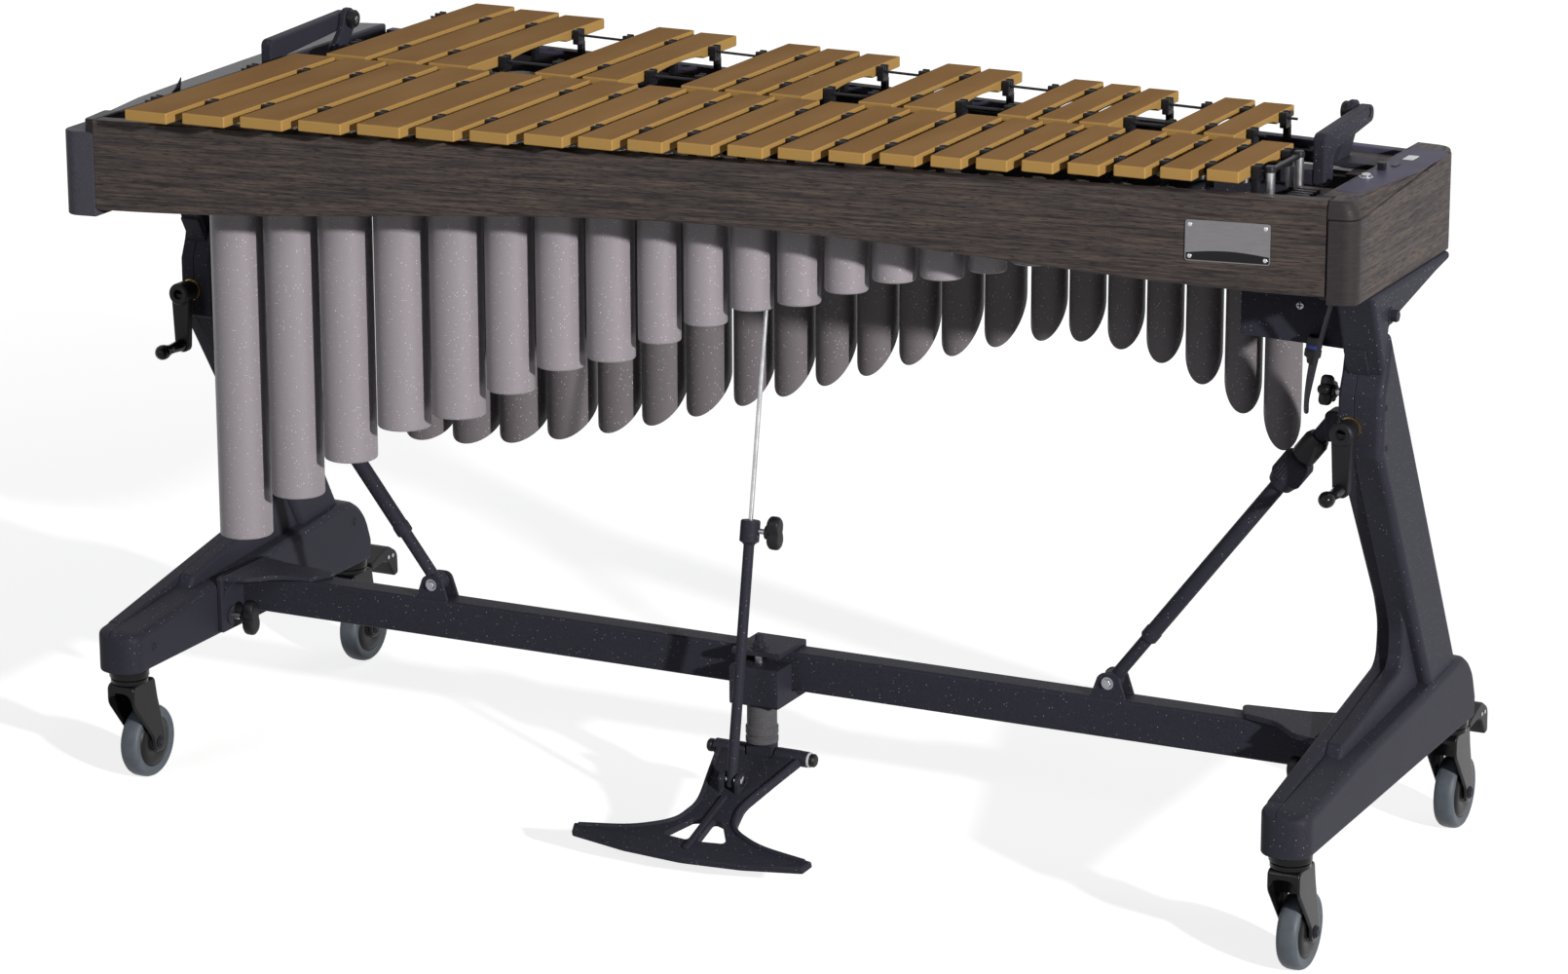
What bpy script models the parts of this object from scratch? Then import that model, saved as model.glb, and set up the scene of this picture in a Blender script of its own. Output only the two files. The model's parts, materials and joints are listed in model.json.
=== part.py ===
"""A three-octave vibraphone on a wheeled, height-adjustable stand, built piece by piece.

X runs along the keyboard from the low notes to the high ones, Y from the player to the back, Z up from the floor.
All sizes are in metres.
"""

import math

import bmesh
import bpy
from mathutils import Matrix, Vector

# Working gap between pieces that touch or slide.
GAP = 0.0003

# Keyboard: bar widths step down from the low end to the high end.
NATURAL_WIDTHS = ((0.058, 5), (0.0515, 3), (0.0455, 7), (0.039, 7))
SCALE_STEPS = (0, 2, 4, 6, 7, 9, 11)
NO_ACCIDENTAL_AFTER = (3, 6)
BAR_SPACE = 0.0078
BAR_THICK = 0.0125
BAR_TOP = 0.8225
BAR_ARCH = 0.006
ARCH_POINTS = 5
LOW_REACH = 0.355
HIGH_FRONT = 0.133
HIGH_REAR = 0.211
FRONT_BOW = 0.029
REAR_BOW = 0.0215
SPLIT_MIDDLE = 0.010
SPLIT_SLOPE = 0.024
ROW_SPACE = 0.012
STILL_SHARE = 0.224
CORD_RADIUS = 0.0015
KEY_COUNT = sum(count for _, count in NATURAL_WIDTHS)
KEY_END = (sum(width * count for width, count in NATURAL_WIDTHS) + BAR_SPACE * (KEY_COUNT - 1)) / 2

# Forked posts and the rails that carry them.
POST_WIDE = 0.005
HEAD_DROP = 0.001
RAIL_TOP = BAR_TOP - 0.0395
RAIL_DEEP = 0.008
RAIL_TALL = 0.018
CORD_BEYOND = 0.018

# Resonator tubes.
LOWEST_PITCH = 174.61
SOUND_SPEED = 343.0
END_CORRECTION = 0.75
TUBE_TOP = BAR_TOP - 0.0475
TUBE_WALL = 0.002
TUBE_SPACE = 0.006
TUBE_SIDES = 10
STRIP_TALL = 0.022
STRIP_THICK = 0.003
STRIP_TOP = TUBE_TOP - 0.018
ARCH_LEFT = (0.0499 - KEY_END, TUBE_TOP - 0.439)
ARCH_PEAK = (KEY_END - 0.2299, TUBE_TOP - 0.215)
ARCH_RIGHT = (KEY_END - 0.0219, TUBE_TOP - 0.300)
STOP_THICK = 0.004

# Fans that turn in the mouths of the tubes.
FAN_ABOVE = 0.0045
FAN_THICK = 0.003
FAN_CLEAR = 0.003
FAN_END = 3 * GAP
SHAFT_WIDE = 0.006
FAN_STEPS = 3

# Wooden frame round the keyboard.
FRONT_ROOM = (0.0078, 0.0170)
BACK_ROOM = (0.0035, 0.0049)
WOOD_THICK = 0.020
BACK_THICK = 0.014
FRAME_TOP = BAR_TOP - 0.0225
FRAME_TALL = 0.100
FRAME_LOW = FRAME_TOP - FRAME_TALL
RAIL_RISE = 0.031
LOW_END_ROOM = 0.0581
HIGH_END_ROOM = 0.0781
END_DEEP = 0.042
CORNER_RADIUS = 0.028
COVER_TALL = 0.022
BLOCK_DROP = 0.008
COVER_PROUD = 0.003
REAR_DROP = 0.008
PLATE_WIDE = 0.088
PLATE_TALL = 0.043
PLATE_THICK = 0.0012
PLATE_CENTRE = (KEY_END - 0.0079, FRAME_LOW + 0.051)

# Stand: two like castings, each of two half shells.
WHEEL_RADIUS = 0.0425
FOOT_Y = 0.020
CASTER_REACH = 0.244
FOOT_X = KEY_END + 0.1071
FOOT_HALF = 0.028
TOE_Y = -0.255
HEEL_Y = 0.271
LEG_INNER = FOOT_X - FOOT_HALF
LEG_OUTER = FOOT_X + 0.015
LEG_SEAM = FOOT_X - 0.003
SEAM_SPACE = 0.0004
FOOT_UNDER = 2 * WHEEL_RADIUS + 0.055
SHELL_CHAMFER = 0.004
LEAN = math.radians(30)
TENON_POINT = (-0.0148, 0.592)
TENON_WIDE = 0.024
TENON_DEEP = 0.030
TENON_LOW = 0.245
HEAD_INNER = FOOT_X - 0.023
HEAD_OUTER = FOOT_X + 0.005
WING_END = KEY_END - 0.0319
LEDGE_TALL = 0.008
HEIGHT_TRAVEL = 0.16

# Cross beam, its saddles and braces.
BEAM_Y = -0.014
BEAM_DEEP = 0.032
BEAM_TALL = 0.045
BEAM_TOP = FOOT_UNDER + 0.065
SADDLE_PLATE = 0.006
BRACE_FOOT = (LEG_INNER - 0.259, BEAM_TOP + 0.017)
BRACE_HEAD = (LEG_INNER - 0.015, 0.540)
BRACE_RADIUS = 0.009
COLLAR_RADIUS = 0.018
COLLAR_LONG = 0.040

# Damper pedal and its rod.
PEDAL_X = 0.012
PEDAL_HINGE = (-0.045, BEAM_TOP - BEAM_TALL - 0.072)
PEDAL_TILT = math.radians(17)
PEDAL_THICK = 0.008
PIN_RADIUS = 0.004
COLUMN_RADIUS = 0.017
ROD_PIN = (0.075, 0.014)
ROD_RADIUS = 0.006
WIRE_RADIUS = 0.0035
ROD_TOP = (-0.004, BAR_TOP - 0.0725)
ROD_COLLAR_AT = 0.270

# Damper bar under the inner ends of the bars, on two swing arms.
DAMPER_DEEP = 0.030
FELT_TALL = 0.012
DAMPER_TALL = 0.016
DAMPER_REACH = KEY_END + 0.0221
HUB_ROOM = 0.022
HUB_Z = BAR_TOP + 0.0125
HUB_RADIUS = 0.014
ARM_WIDE = 0.014
BRACKET_ABOVE = 0.004

# Casters.
WHEEL_WIDE = 0.024
CASTER_TRAIL = 0.032
FORK_INSIDE = 0.030
CHEEK_THICK = 0.003
AXLE_RADIUS = 0.004
RING_RADIUS = 0.023

# Cable that loops under the high end.
CABLE_RADIUS = 0.0025
CABLE_ROUTE = (
    (0.6840, -0.0850, 0.6917),
    (0.6840, -0.0850, 0.6850),
    (0.6800, -0.0800, 0.6750),
    (0.6690, -0.0650, 0.6500),
    (0.6595, -0.0564, 0.6200),
    (0.6523, -0.0533, 0.5900),
    (0.6481, -0.0518, 0.5710),
    (0.6471, -0.0500, 0.5594),
    (0.6459, -0.0468, 0.5562),
    (0.6438, -0.0419, 0.5548),
    (0.6417, -0.0369, 0.5562),
    (0.6405, -0.0337, 0.5594),
    (0.6402, -0.0317, 0.5710),
    (0.6416, -0.0309, 0.5880),
    (0.6440, -0.0313, 0.6040),
)

for leftover in list(bpy.data.objects):
    bpy.data.objects.remove(leftover, do_unlink=True)

vibraphone = bpy.data.collections.new("vibraphone")
workshop = bpy.data.collections.new("workshop")
bpy.context.scene.collection.children.link(vibraphone)
bpy.context.scene.collection.children.link(workshop)


# Shaping tools


def placed(mesh):
    obj = bpy.data.objects.new("blank", mesh)
    workshop.objects.link(obj)
    return obj


def from_bmesh(bm):
    bmesh.ops.recalc_face_normals(bm, faces=bm.faces)
    mesh = bpy.data.meshes.new("blank")
    bm.to_mesh(mesh)
    bm.free()
    return placed(mesh)


def baked(obj):
    """The object as its modifiers or its curve leave it, welded and made a plain mesh."""
    bpy.context.view_layer.update()
    graph = bpy.context.evaluated_depsgraph_get()
    mesh = bpy.data.meshes.new_from_object(obj.evaluated_get(graph))
    mesh.transform(obj.matrix_world)
    bpy.data.objects.remove(obj, do_unlink=True)
    bm = bmesh.new()
    bm.from_mesh(mesh)
    bpy.data.meshes.remove(mesh)
    bmesh.ops.remove_doubles(bm, verts=bm.verts, dist=0.00001)
    return from_bmesh(bm)


def box(low, high):
    low, high = Vector(low), Vector(high)
    bm = bmesh.new()
    bmesh.ops.create_cube(bm, size=1.0, matrix=Matrix.LocRotScale((low + high) / 2, None, high - low))
    return from_bmesh(bm)


def along(start, end):
    """A matrix that stands on start with its Z towards end."""
    start, end = Vector(start), Vector(end)
    turn = (end - start).to_track_quat("Z", "Y")
    return Matrix.Translation((start + end) / 2) @ turn.to_matrix().to_4x4(), (end - start).length


def rod(start, end, radius, sides=12, end_radius=None):
    matrix, length = along(start, end)
    bm = bmesh.new()
    bmesh.ops.create_cone(
        bm,
        cap_ends=True,
        segments=sides,
        radius1=radius,
        radius2=radius if end_radius is None else end_radius,
        depth=length,
        matrix=matrix,
    )
    return from_bmesh(bm)


def turned(profile, start, end, sides=16):
    """A profile of (radius, height) pairs, top to bottom, turned about the line from start to end."""
    mesh = bpy.data.meshes.new("profile")
    mesh.from_pydata([(r, 0, h) for r, h in profile], [(i, i + 1) for i in range(len(profile) - 1)], [])
    obj = placed(mesh)
    screw = obj.modifiers.new("turn", "SCREW")
    screw.steps = screw.render_steps = sides
    screw.use_merge_vertices = True
    screw.merge_threshold = 0.0001
    turn = (Vector(end) - Vector(start)).to_track_quat("Z", "Y")
    obj.matrix_world = Matrix.Translation(start) @ turn.to_matrix().to_4x4()
    return baked(obj)


PLANES = {
    "XY": Matrix.Identity(4),
    "YZ": Matrix(((0, 0, 1, 0), (1, 0, 0, 0), (0, 1, 0, 0), (0, 0, 0, 1))),
    "XZ": Matrix(((1, 0, 0, 0), (0, 0, 1, 0), (0, 1, 0, 0), (0, 0, 0, 1))),
}


def plate(outline, plane, low, high, chamfer=0.0):
    """A flat outline, thickened from low to high across its plane."""
    curve = bpy.data.curves.new("outline", "CURVE")
    curve.dimensions = "2D"
    curve.fill_mode = "BOTH"
    curve.extrude = abs(high - low) / 2 - chamfer
    curve.bevel_depth = chamfer
    curve.bevel_resolution = 0
    curve.offset = -chamfer
    spline = curve.splines.new("POLY")
    spline.points.add(len(outline) - 1)
    for point, (a, b) in zip(spline.points, outline):
        point.co = (a, b, 0, 1)
    spline.use_cyclic_u = True
    obj = bpy.data.objects.new("outline", curve)
    workshop.objects.link(obj)
    obj.matrix_world = PLANES[plane] @ Matrix.Translation((0, 0, (low + high) / 2))
    return baked(obj)


def pipe(points, radius, resolution=1):
    curve = bpy.data.curves.new("pipe", "CURVE")
    curve.dimensions = "3D"
    curve.bevel_depth = radius
    curve.bevel_resolution = resolution
    curve.use_fill_caps = True
    spline = curve.splines.new("POLY")
    spline.points.add(len(points) - 1)
    for point, place in zip(spline.points, points):
        point.co = (*place, 1)
    obj = bpy.data.objects.new("pipe", curve)
    workshop.objects.link(obj)
    return baked(obj)


def moved(obj, matrix):
    obj.data.transform(matrix)
    if matrix.determinant() < 0:
        obj.data.flip_normals()
    return obj


def copied(obj, matrix):
    return moved(placed(obj.data.copy()), matrix)


def together(pieces):
    """Pieces that don't touch, as one mesh, for cutting or for a union that joins them."""
    bm = bmesh.new()
    for piece in pieces:
        bm.from_mesh(piece.data)
        bpy.data.objects.remove(piece, do_unlink=True)
    mesh = bpy.data.meshes.new("blank")
    bm.to_mesh(mesh)
    bm.free()
    return placed(mesh)


def combined(body, tool, operation):
    modifier = body.modifiers.new(operation, "BOOLEAN")
    modifier.operation = operation
    modifier.object = tool
    tool.hide_render = True
    tool.display_type = "WIRE"
    result = baked(body)
    bpy.data.objects.remove(tool, do_unlink=True)
    return result


def union(body, *others):
    for other in others:
        body = combined(body, other, "UNION")
    return body


def cut(body, *tools):
    for tool in tools:
        body = combined(body, tool, "DIFFERENCE")
    return body


FINISHES = {
    "gold": ((0.56, 0.36, 0.12), 0.42, 0.9),
    "champagne": ((0.42, 0.38, 0.37), 0.45, 0.7),
    "black_coat": ((0.030, 0.030, 0.036), 0.55, 0.2),
    "black_plastic": ((0.014, 0.014, 0.016), 0.45, 0.0),
    "oak": ((0.075, 0.062, 0.054), 0.55, 0.0),
    "steel": ((0.60, 0.60, 0.62), 0.25, 1.0),
    "aluminium": ((0.52, 0.52, 0.54), 0.4, 1.0),
    "tyre_grey": ((0.12, 0.135, 0.15), 0.6, 0.0),
    "felt": ((0.05, 0.05, 0.055), 0.95, 0.0),
    "plate_silver": ((0.55, 0.55, 0.56), 0.35, 0.9),
    "cable": ((0.02, 0.02, 0.03), 0.5, 0.0),
}


def finish_of(name):
    material = bpy.data.materials.get(name)
    if material is None:
        colour, roughness, metallic = FINISHES[name]
        material = bpy.data.materials.new(name)
        material.use_nodes = True
        shader = material.node_tree.nodes["Principled BSDF"]
        shader.inputs["Base Color"].default_value = (*colour, 1)
        shader.inputs["Roughness"].default_value = roughness
        shader.inputs["Metallic"].default_value = metallic
        material.diffuse_color = (*colour, 1)
    return material


def part(obj, name, finish, origin=(0, 0, 0)):
    """Names a finished piece and puts its origin where it turns or slides."""
    obj.data.transform(Matrix.Translation(-Vector(origin)))
    obj.location = origin
    obj.name = name
    obj.data.name = name
    obj.data.materials.clear()
    obj.data.materials.append(finish_of(finish))
    obj.data.shade_smooth()
    obj.data.set_sharp_from_angle(angle=math.radians(35))
    workshop.objects.unlink(obj)
    vibraphone.objects.link(obj)
    return obj


def flip(side):
    """Mirrors a piece made for the high end (side 1) to the low end (side -1)."""
    return Matrix.Diagonal((side, 1, 1, 1))


SIDES = ((-1, "low"), (1, "high"))

# Keyboard layout


def natural_layout():
    """Left edge and width of each natural bar, centred on X = 0."""
    left = -KEY_END
    bars = []
    for width, count in NATURAL_WIDTHS:
        for _ in range(count):
            bars.append((left, width))
            left += width + BAR_SPACE
    return bars


NATURALS = natural_layout()
GAPS = [(NATURALS[i][0] + NATURALS[i][1] + BAR_SPACE / 2, i) for i in range(len(NATURALS) - 1)]
GAP_WIDTHS = [min(NATURALS[i][1], NATURALS[i + 1][1]) for _, i in GAPS]
ACCIDENTALS = [
    (x - GAP_WIDTHS[i] / 2, GAP_WIDTHS[i]) for x, i in GAPS if i % 7 not in NO_ACCIDENTAL_AFTER
]
FIRST_X = NATURALS[0][0] + NATURALS[0][1] / 2
LAST_X = NATURALS[-1][0] + NATURALS[-1][1] / 2
FIRST_ACC_X = GAPS[0][0]
LAST_ACC_X = ACCIDENTALS[-1][0] + ACCIDENTALS[-1][1] / 2


def bowed(x, x0, y0, x1, y1, bow):
    share = (x - x0) / (x1 - x0)
    return y0 + (y1 - y0) * share + bow * (x - x0) * (x - x1)


def front_y(x):
    return bowed(x, FIRST_X, -LOW_REACH, LAST_X, -HIGH_FRONT, FRONT_BOW)


def split_y(x):
    return SPLIT_MIDDLE + SPLIT_SLOPE * x


def rear_y(x):
    return bowed(x, FIRST_ACC_X, LOW_REACH, LAST_ACC_X, HIGH_REAR, REAR_BOW)


def natural_span(x):
    return front_y(x), split_y(x)


def accidental_span(x):
    return split_y(x) + ROW_SPACE, rear_y(x)


def still_y(span, x, back):
    near, far = span(x)
    share = 1 - STILL_SHARE if back else STILL_SHARE
    return near + (far - near) * share


CORD_Z = BAR_TOP - BAR_THICK / 2


def sound_bar(left, width, span):
    """A bar with the arch cut from its underside that tunes it."""
    near, far = span(left + width / 2)
    low = BAR_TOP - BAR_THICK
    first = near + (far - near) * (STILL_SHARE + 0.06)
    last = far - (far - near) * (STILL_SHARE + 0.06)
    outline = [(near, low), (near, BAR_TOP), (far, BAR_TOP), (far, low)]
    for k in range(ARCH_POINTS):
        share = k / (ARCH_POINTS - 1)
        rise = BAR_ARCH * math.sin(math.pi * share) ** 0.5
        outline.append((last + (first - last) * share, low + rise))
    return plate(outline, "YZ", left, left + width)


def cord(span, back, first_x, last_x, stations):
    """The cord that a row of bars hangs on, out to its end posts."""
    xs = [first_x - CORD_BEYOND, *stations, last_x + CORD_BEYOND]
    return pipe([(x, still_y(span, x, back), CORD_Z) for x in xs], CORD_RADIUS, 0)


def bars():
    rows = (
        ("natural_bars", NATURALS, natural_span, -KEY_END, KEY_END),
        (
            "accidental_bars",
            ACCIDENTALS,
            accidental_span,
            ACCIDENTALS[0][0],
            ACCIDENTALS[-1][0] + ACCIDENTALS[-1][1],
        ),
    )
    for name, layout, span, first_x, last_x in rows:
        row = together([sound_bar(left, width, span) for left, width in layout])
        stations = [left + width / 2 for left, width in layout]
        for back in (False, True):
            row = union(row, cord(span, back, first_x, last_x, stations))
        part(row, name, "gold")


def post_places(layout):
    """Posts stand beside every bar: one between neighbours, one at each end of a group."""
    places = []
    for left, width in layout:
        for x in (left - BAR_SPACE / 2, left + width + BAR_SPACE / 2):
            if not places or x - places[-1] > BAR_SPACE:
                places.append(x)
    return places


def post_rail(span, back, posts, ends):
    """A rail with a row of posts along its top that the cord is hooked to, bent to follow the still points."""
    head = BAR_TOP - HEAD_DROP
    half = POST_WIDE / 2
    outline = [(ends[0], RAIL_TOP)]
    for x in posts:
        outline += [(x - half, RAIL_TOP), (x - half, head), (x + half, head), (x + half, RAIL_TOP)]
    outline += [(ends[1], RAIL_TOP), (ends[1], RAIL_TOP - RAIL_TALL)]
    outline += [(x, RAIL_TOP - RAIL_TALL) for x in reversed(posts[4:-4:5])]
    outline += [(ends[0], RAIL_TOP - RAIL_TALL)]
    offset = (1 if back else -1) * (CORD_RADIUS + GAP + RAIL_DEEP / 2)
    rail = plate(outline, "XZ", offset - RAIL_DEEP / 2, offset + RAIL_DEEP / 2)
    for vertex in rail.data.vertices:
        vertex.co.y += still_y(span, vertex.co.x, back)
    return rail


def inner_wall(side):
    return KEY_END + HIGH_END_ROOM if side > 0 else -KEY_END - LOW_END_ROOM


def bar_rails():
    rows = (
        ("natural", NATURALS, natural_span),
        ("accidental", ACCIDENTALS, accidental_span),
    )
    for row, layout, span in rows:
        for back, place in ((False, "front"), (True, "rear")):
            ends = (inner_wall(-1) + GAP, inner_wall(1) - GAP)
            rail = post_rail(span, back, post_places(layout), ends)
            part(rail, f"{row}_{place}_rail", "black_coat")


# Resonators and fans


def semitone(index):
    return 12 * (index // 7) + SCALE_STEPS[index % 7]


def sounding_length(half_tones, radius):
    """A quarter wave in air, less the end correction of the mouth."""
    pitch = LOWEST_PITCH * 2 ** (half_tones / 12)
    return SOUND_SPEED / (4 * pitch) - END_CORRECTION * radius


def row_line(span, first_x, last_x):
    """Start and end of the straight line that the tubes of a row stand on."""
    return tuple((x, sum(span(x)) / 2) for x in (first_x, last_x))


def on_line(line, x):
    (x0, y0), (x1, y1) = line
    return y0 + (y1 - y0) * (x - x0) / (x1 - x0)


NATURAL_LINE = row_line(natural_span, FIRST_X, LAST_X)
ACCIDENTAL_LINE = row_line(accidental_span, FIRST_ACC_X, LAST_ACC_X)


def arch_z(x):
    """Lower edge of the back row, which falls away on both sides of its peak."""
    if x < ARCH_PEAK[0]:
        share = max(0.0, (x - ARCH_LEFT[0]) / (ARCH_PEAK[0] - ARCH_LEFT[0]))
        return ARCH_LEFT[1] + (ARCH_PEAK[1] - ARCH_LEFT[1]) * (0.5 - 0.5 * math.cos(math.pi * share))
    share = (x - ARCH_PEAK[0]) / (ARCH_RIGHT[0] - ARCH_PEAK[0])
    return ARCH_PEAK[1] + (ARCH_RIGHT[1] - ARCH_PEAK[1]) * share**2


def tube_radius(width):
    return (width + BAR_SPACE - TUBE_SPACE) / 2


def cup(x, y, radius, bottom):
    """A closed tube, turned as one profile."""
    inner = radius - TUBE_WALL
    profile = ((0, bottom + TUBE_WALL), (inner, bottom + TUBE_WALL), (inner, TUBE_TOP), (radius, TUBE_TOP))
    profile += ((radius, bottom), (0, bottom))
    return turned(profile, (x, y, 0), (x, y, 1), TUBE_SIDES)


def slant_tube(x, y, radius, bottom, stop):
    """A tube cut off on the slant, low side to the player, bored from its mouth down to its stop."""
    inner = radius - TUBE_WALL
    profile = ((0, stop), (inner, stop), (inner, TUBE_TOP), (radius, TUBE_TOP), (radius, bottom), (0, bottom))
    tube = turned(profile, (x, y, 0), (x, y, 1), TUBE_SIDES)
    slope = [(y - radius, bottom), (y + 2 * radius, bottom + 3 * radius), (y + 2 * radius, bottom - radius)]
    slope += [(y - 2 * radius, bottom - radius)]
    return cut(tube, plate(slope, "YZ", x - 2 * radius, x + 2 * radius))


def strip_for(line, radii, side):
    """A flat strip that the tubes of a row are fixed to, out to the end walls."""
    bite = TUBE_WALL / 2
    stations = [(inner_wall(-1) + GAP, radii[0][1]), *radii, (inner_wall(1) - GAP, radii[-1][1])]
    flat = math.cos(math.pi / TUBE_SIDES)
    inside = [(x, on_line(line, x) + side * (radius * flat - bite)) for x, radius in stations]
    outside = [(x, y + side * STRIP_THICK) for x, y in inside]
    return plate(inside + outside[::-1], "XY", STRIP_TOP - STRIP_TALL, STRIP_TOP)


def resonators():
    tubes = []
    radii = []
    for index, (left, width) in enumerate(NATURALS):
        x, radius = left + width / 2, tube_radius(width)
        length = sounding_length(semitone(index), radius - TUBE_WALL)
        tubes.append(cup(x, on_line(NATURAL_LINE, x), radius, TUBE_TOP - length))
        radii.append((x, radius))
    bank = union(together(tubes), strip_for(NATURAL_LINE, radii, 1))
    part(bank, "natural_resonators", "champagne")

    tubes = []
    radii = []
    for x, index in GAPS:
        radius = tube_radius(GAP_WIDTHS[index])
        bottom = arch_z(x)
        length = sounding_length(semitone(index) + 1, radius - TUBE_WALL)
        stop = max(TUBE_TOP - length, bottom + 2 * radius + STOP_THICK)
        tubes.append(slant_tube(x, on_line(ACCIDENTAL_LINE, x), radius, bottom, stop))
        radii.append((x, radius))
    bank = union(together(tubes), strip_for(ACCIDENTAL_LINE, radii, -1))
    part(bank, "accidental_resonators", "champagne")


def fan_shaft(name, line, places):
    """A flat shaft just over the tube mouths, with one disc for each sounding tube, cut from one sheet."""
    first, last = inner_wall(-1) + FAN_END, inner_wall(1) - FAN_END
    half = SHAFT_WIDE / 2
    edge = [(first, half)]
    for x, radius in places:
        size = radius - TUBE_WALL - FAN_CLEAR
        start = math.asin(half / size)
        arc = [math.pi - start - (math.pi - 2 * start) * k / FAN_STEPS for k in range(FAN_STEPS + 1)]
        edge += [(x + size * math.cos(turn), size * math.sin(turn)) for turn in arc]
    edge += [(last, half)]
    outline = edge + [(x, -y) for x, y in reversed(edge)]
    sheet = plate(outline, "XY", -FAN_THICK / 2, FAN_THICK / 2)
    slope = (line[1][1] - line[0][1]) / (line[1][0] - line[0][0])
    for vertex in sheet.data.vertices:
        vertex.co.y += slope * (vertex.co.x - line[0][0]) + line[0][1]
        vertex.co.z += TUBE_TOP + FAN_ABOVE
    part(sheet, name, "aluminium", (0, on_line(line, 0), TUBE_TOP + FAN_ABOVE))


def fans():
    naturals = [(left + width / 2, tube_radius(width)) for left, width in NATURALS]
    fan_shaft("natural_fan_shaft", NATURAL_LINE, naturals)
    accidentals = [(left + width / 2, tube_radius(width)) for left, width in ACCIDENTALS]
    fan_shaft("accidental_fan_shaft", ACCIDENTAL_LINE, accidentals)


# Wooden frame


def line_y(line, x):
    return line[0] + line[1] * x


def board_line(span, back, first_x, last_x, rooms):
    """Height and slope of the straight board face that clears the bar rail by a room at each end."""
    side = 1 if back else -1
    reach = CORD_RADIUS + GAP + RAIL_DEEP + (BACK_THICK if back else WOOD_THICK)
    first, last = (
        still_y(span, x, back) + side * (reach + room) for x, room in zip((first_x, last_x), rooms)
    )
    slope = (last - first) / (last_x - first_x)
    return first - slope * first_x, slope


RAIL_LINE = board_line(natural_span, False, FIRST_X, LAST_X, FRONT_ROOM)
BACK_LINE = board_line(accidental_span, True, FIRST_ACC_X, LAST_ACC_X, BACK_ROOM)
HUB_Y = line_y(BACK_LINE, inner_wall(1)) - BACK_THICK - HUB_ROOM


def on_slope(board, line):
    """A board drawn along X, moved over to run along a slanted line across the frame."""
    for vertex in board.data.vertices:
        vertex.co.y += line_y(line, vertex.co.x)
    return board


RAIL_ENDS = (inner_wall(-1) + GAP, inner_wall(1) - GAP)


def front_rail():
    """The front board, whose lower edge rises in a long shallow arch."""
    first, last = RAIL_ENDS
    outline = [(last, FRAME_LOW), (last, FRAME_TOP), (first, FRAME_TOP), (first, FRAME_LOW)]
    steps = 12
    for k in range(1, steps):
        share = k / steps
        rise = RAIL_RISE * math.sin(math.pi * share) ** 2
        outline.append((first + (last - first) * share, FRAME_LOW + rise))
    board = plate(outline, "XZ", 0, WOOD_THICK)
    part(on_slope(board, RAIL_LINE), "front_rail", "oak")


def rear_rail():
    board = box((RAIL_ENDS[0], -BACK_THICK, FRAME_LOW), (RAIL_ENDS[1], 0, FRAME_TOP - REAR_DROP))
    part(on_slope(board, BACK_LINE), "rear_rail", "oak")


def corner(centre, radius, start, sweep, steps=4):
    return [
        (
            centre[0] + radius * math.cos(start + sweep * k / steps),
            centre[1] + radius * math.sin(start + sweep * k / steps),
        )
        for k in range(steps + 1)
    ]


def end_plan(side, proud=0.0):
    """Plan of an end block, from its front corner round to its back corner."""
    inner = abs(inner_wall(side))
    outer = inner + END_DEEP + proud
    front = line_y(RAIL_LINE, side * inner) - proud
    front_out = line_y(RAIL_LINE, side * outer) - proud
    back = line_y(BACK_LINE, side * inner) + proud
    back_out = line_y(BACK_LINE, side * outer) + proud
    radius = CORNER_RADIUS
    outline = [(inner, front)]
    outline += corner((outer - radius, front_out + radius), radius, -math.pi / 2, math.pi / 2)
    outline += corner((outer - radius, back_out - radius), radius, 0, math.pi / 2)
    outline += [(inner, back)]
    return [(side * x, y) for x, y in outline]


def end_blocks():
    """The end blocks: a plain one at the low end, and one with a moulded control panel on top at the high end."""
    low_z = FRAME_TOP - COVER_TALL
    under = FRAME_LOW - BLOCK_DROP
    part(plate(end_plan(-1), "XY", under, FRAME_TOP), "end_block_low", "oak")
    part(plate(end_plan(1), "XY", under, low_z - GAP), "end_block_high", "oak")
    cover = plate(end_plan(1, COVER_PROUD), "XY", low_z, FRAME_TOP, 0.002)
    part(cover, "control_panel", "black_plastic")


def name_plate():
    x, z = PLATE_CENTRE
    half = PLATE_WIDE / 2
    low, high = z - PLATE_TALL / 2, z + PLATE_TALL / 2
    board = box((x - half, -PLATE_THICK - GAP, low), (x + half, -GAP, high))
    part(on_slope(board, RAIL_LINE), "name_plate", "plate_silver")


# Stand


LEAN_AXIS = Vector((0, -math.sin(LEAN), math.cos(LEAN)))
LEAN_ACROSS = Vector((0, math.cos(LEAN), math.sin(LEAN)))


def lean_bar(low, high, wide, deep):
    """A square bar along the leaning axis of the posts, made for the high end."""
    x = (HEAD_INNER + HEAD_OUTER) / 2
    bar = box((-wide / 2, -deep / 2, low), (wide / 2, deep / 2, high))
    place = Matrix.Translation((x, *TENON_POINT)) @ Matrix.Rotation(LEAN, 4, "X")
    return moved(bar, place)


POST_FRONT = ((0.072, 0.320), (-0.0405, 0.510))
GUIDE_FRONT = -0.045
GUIDE_TOP = 0.579
POST_BACK_TOP = (-0.007, 0.622)
SEAT = ((-0.030, 0.590), POST_BACK_TOP)


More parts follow.
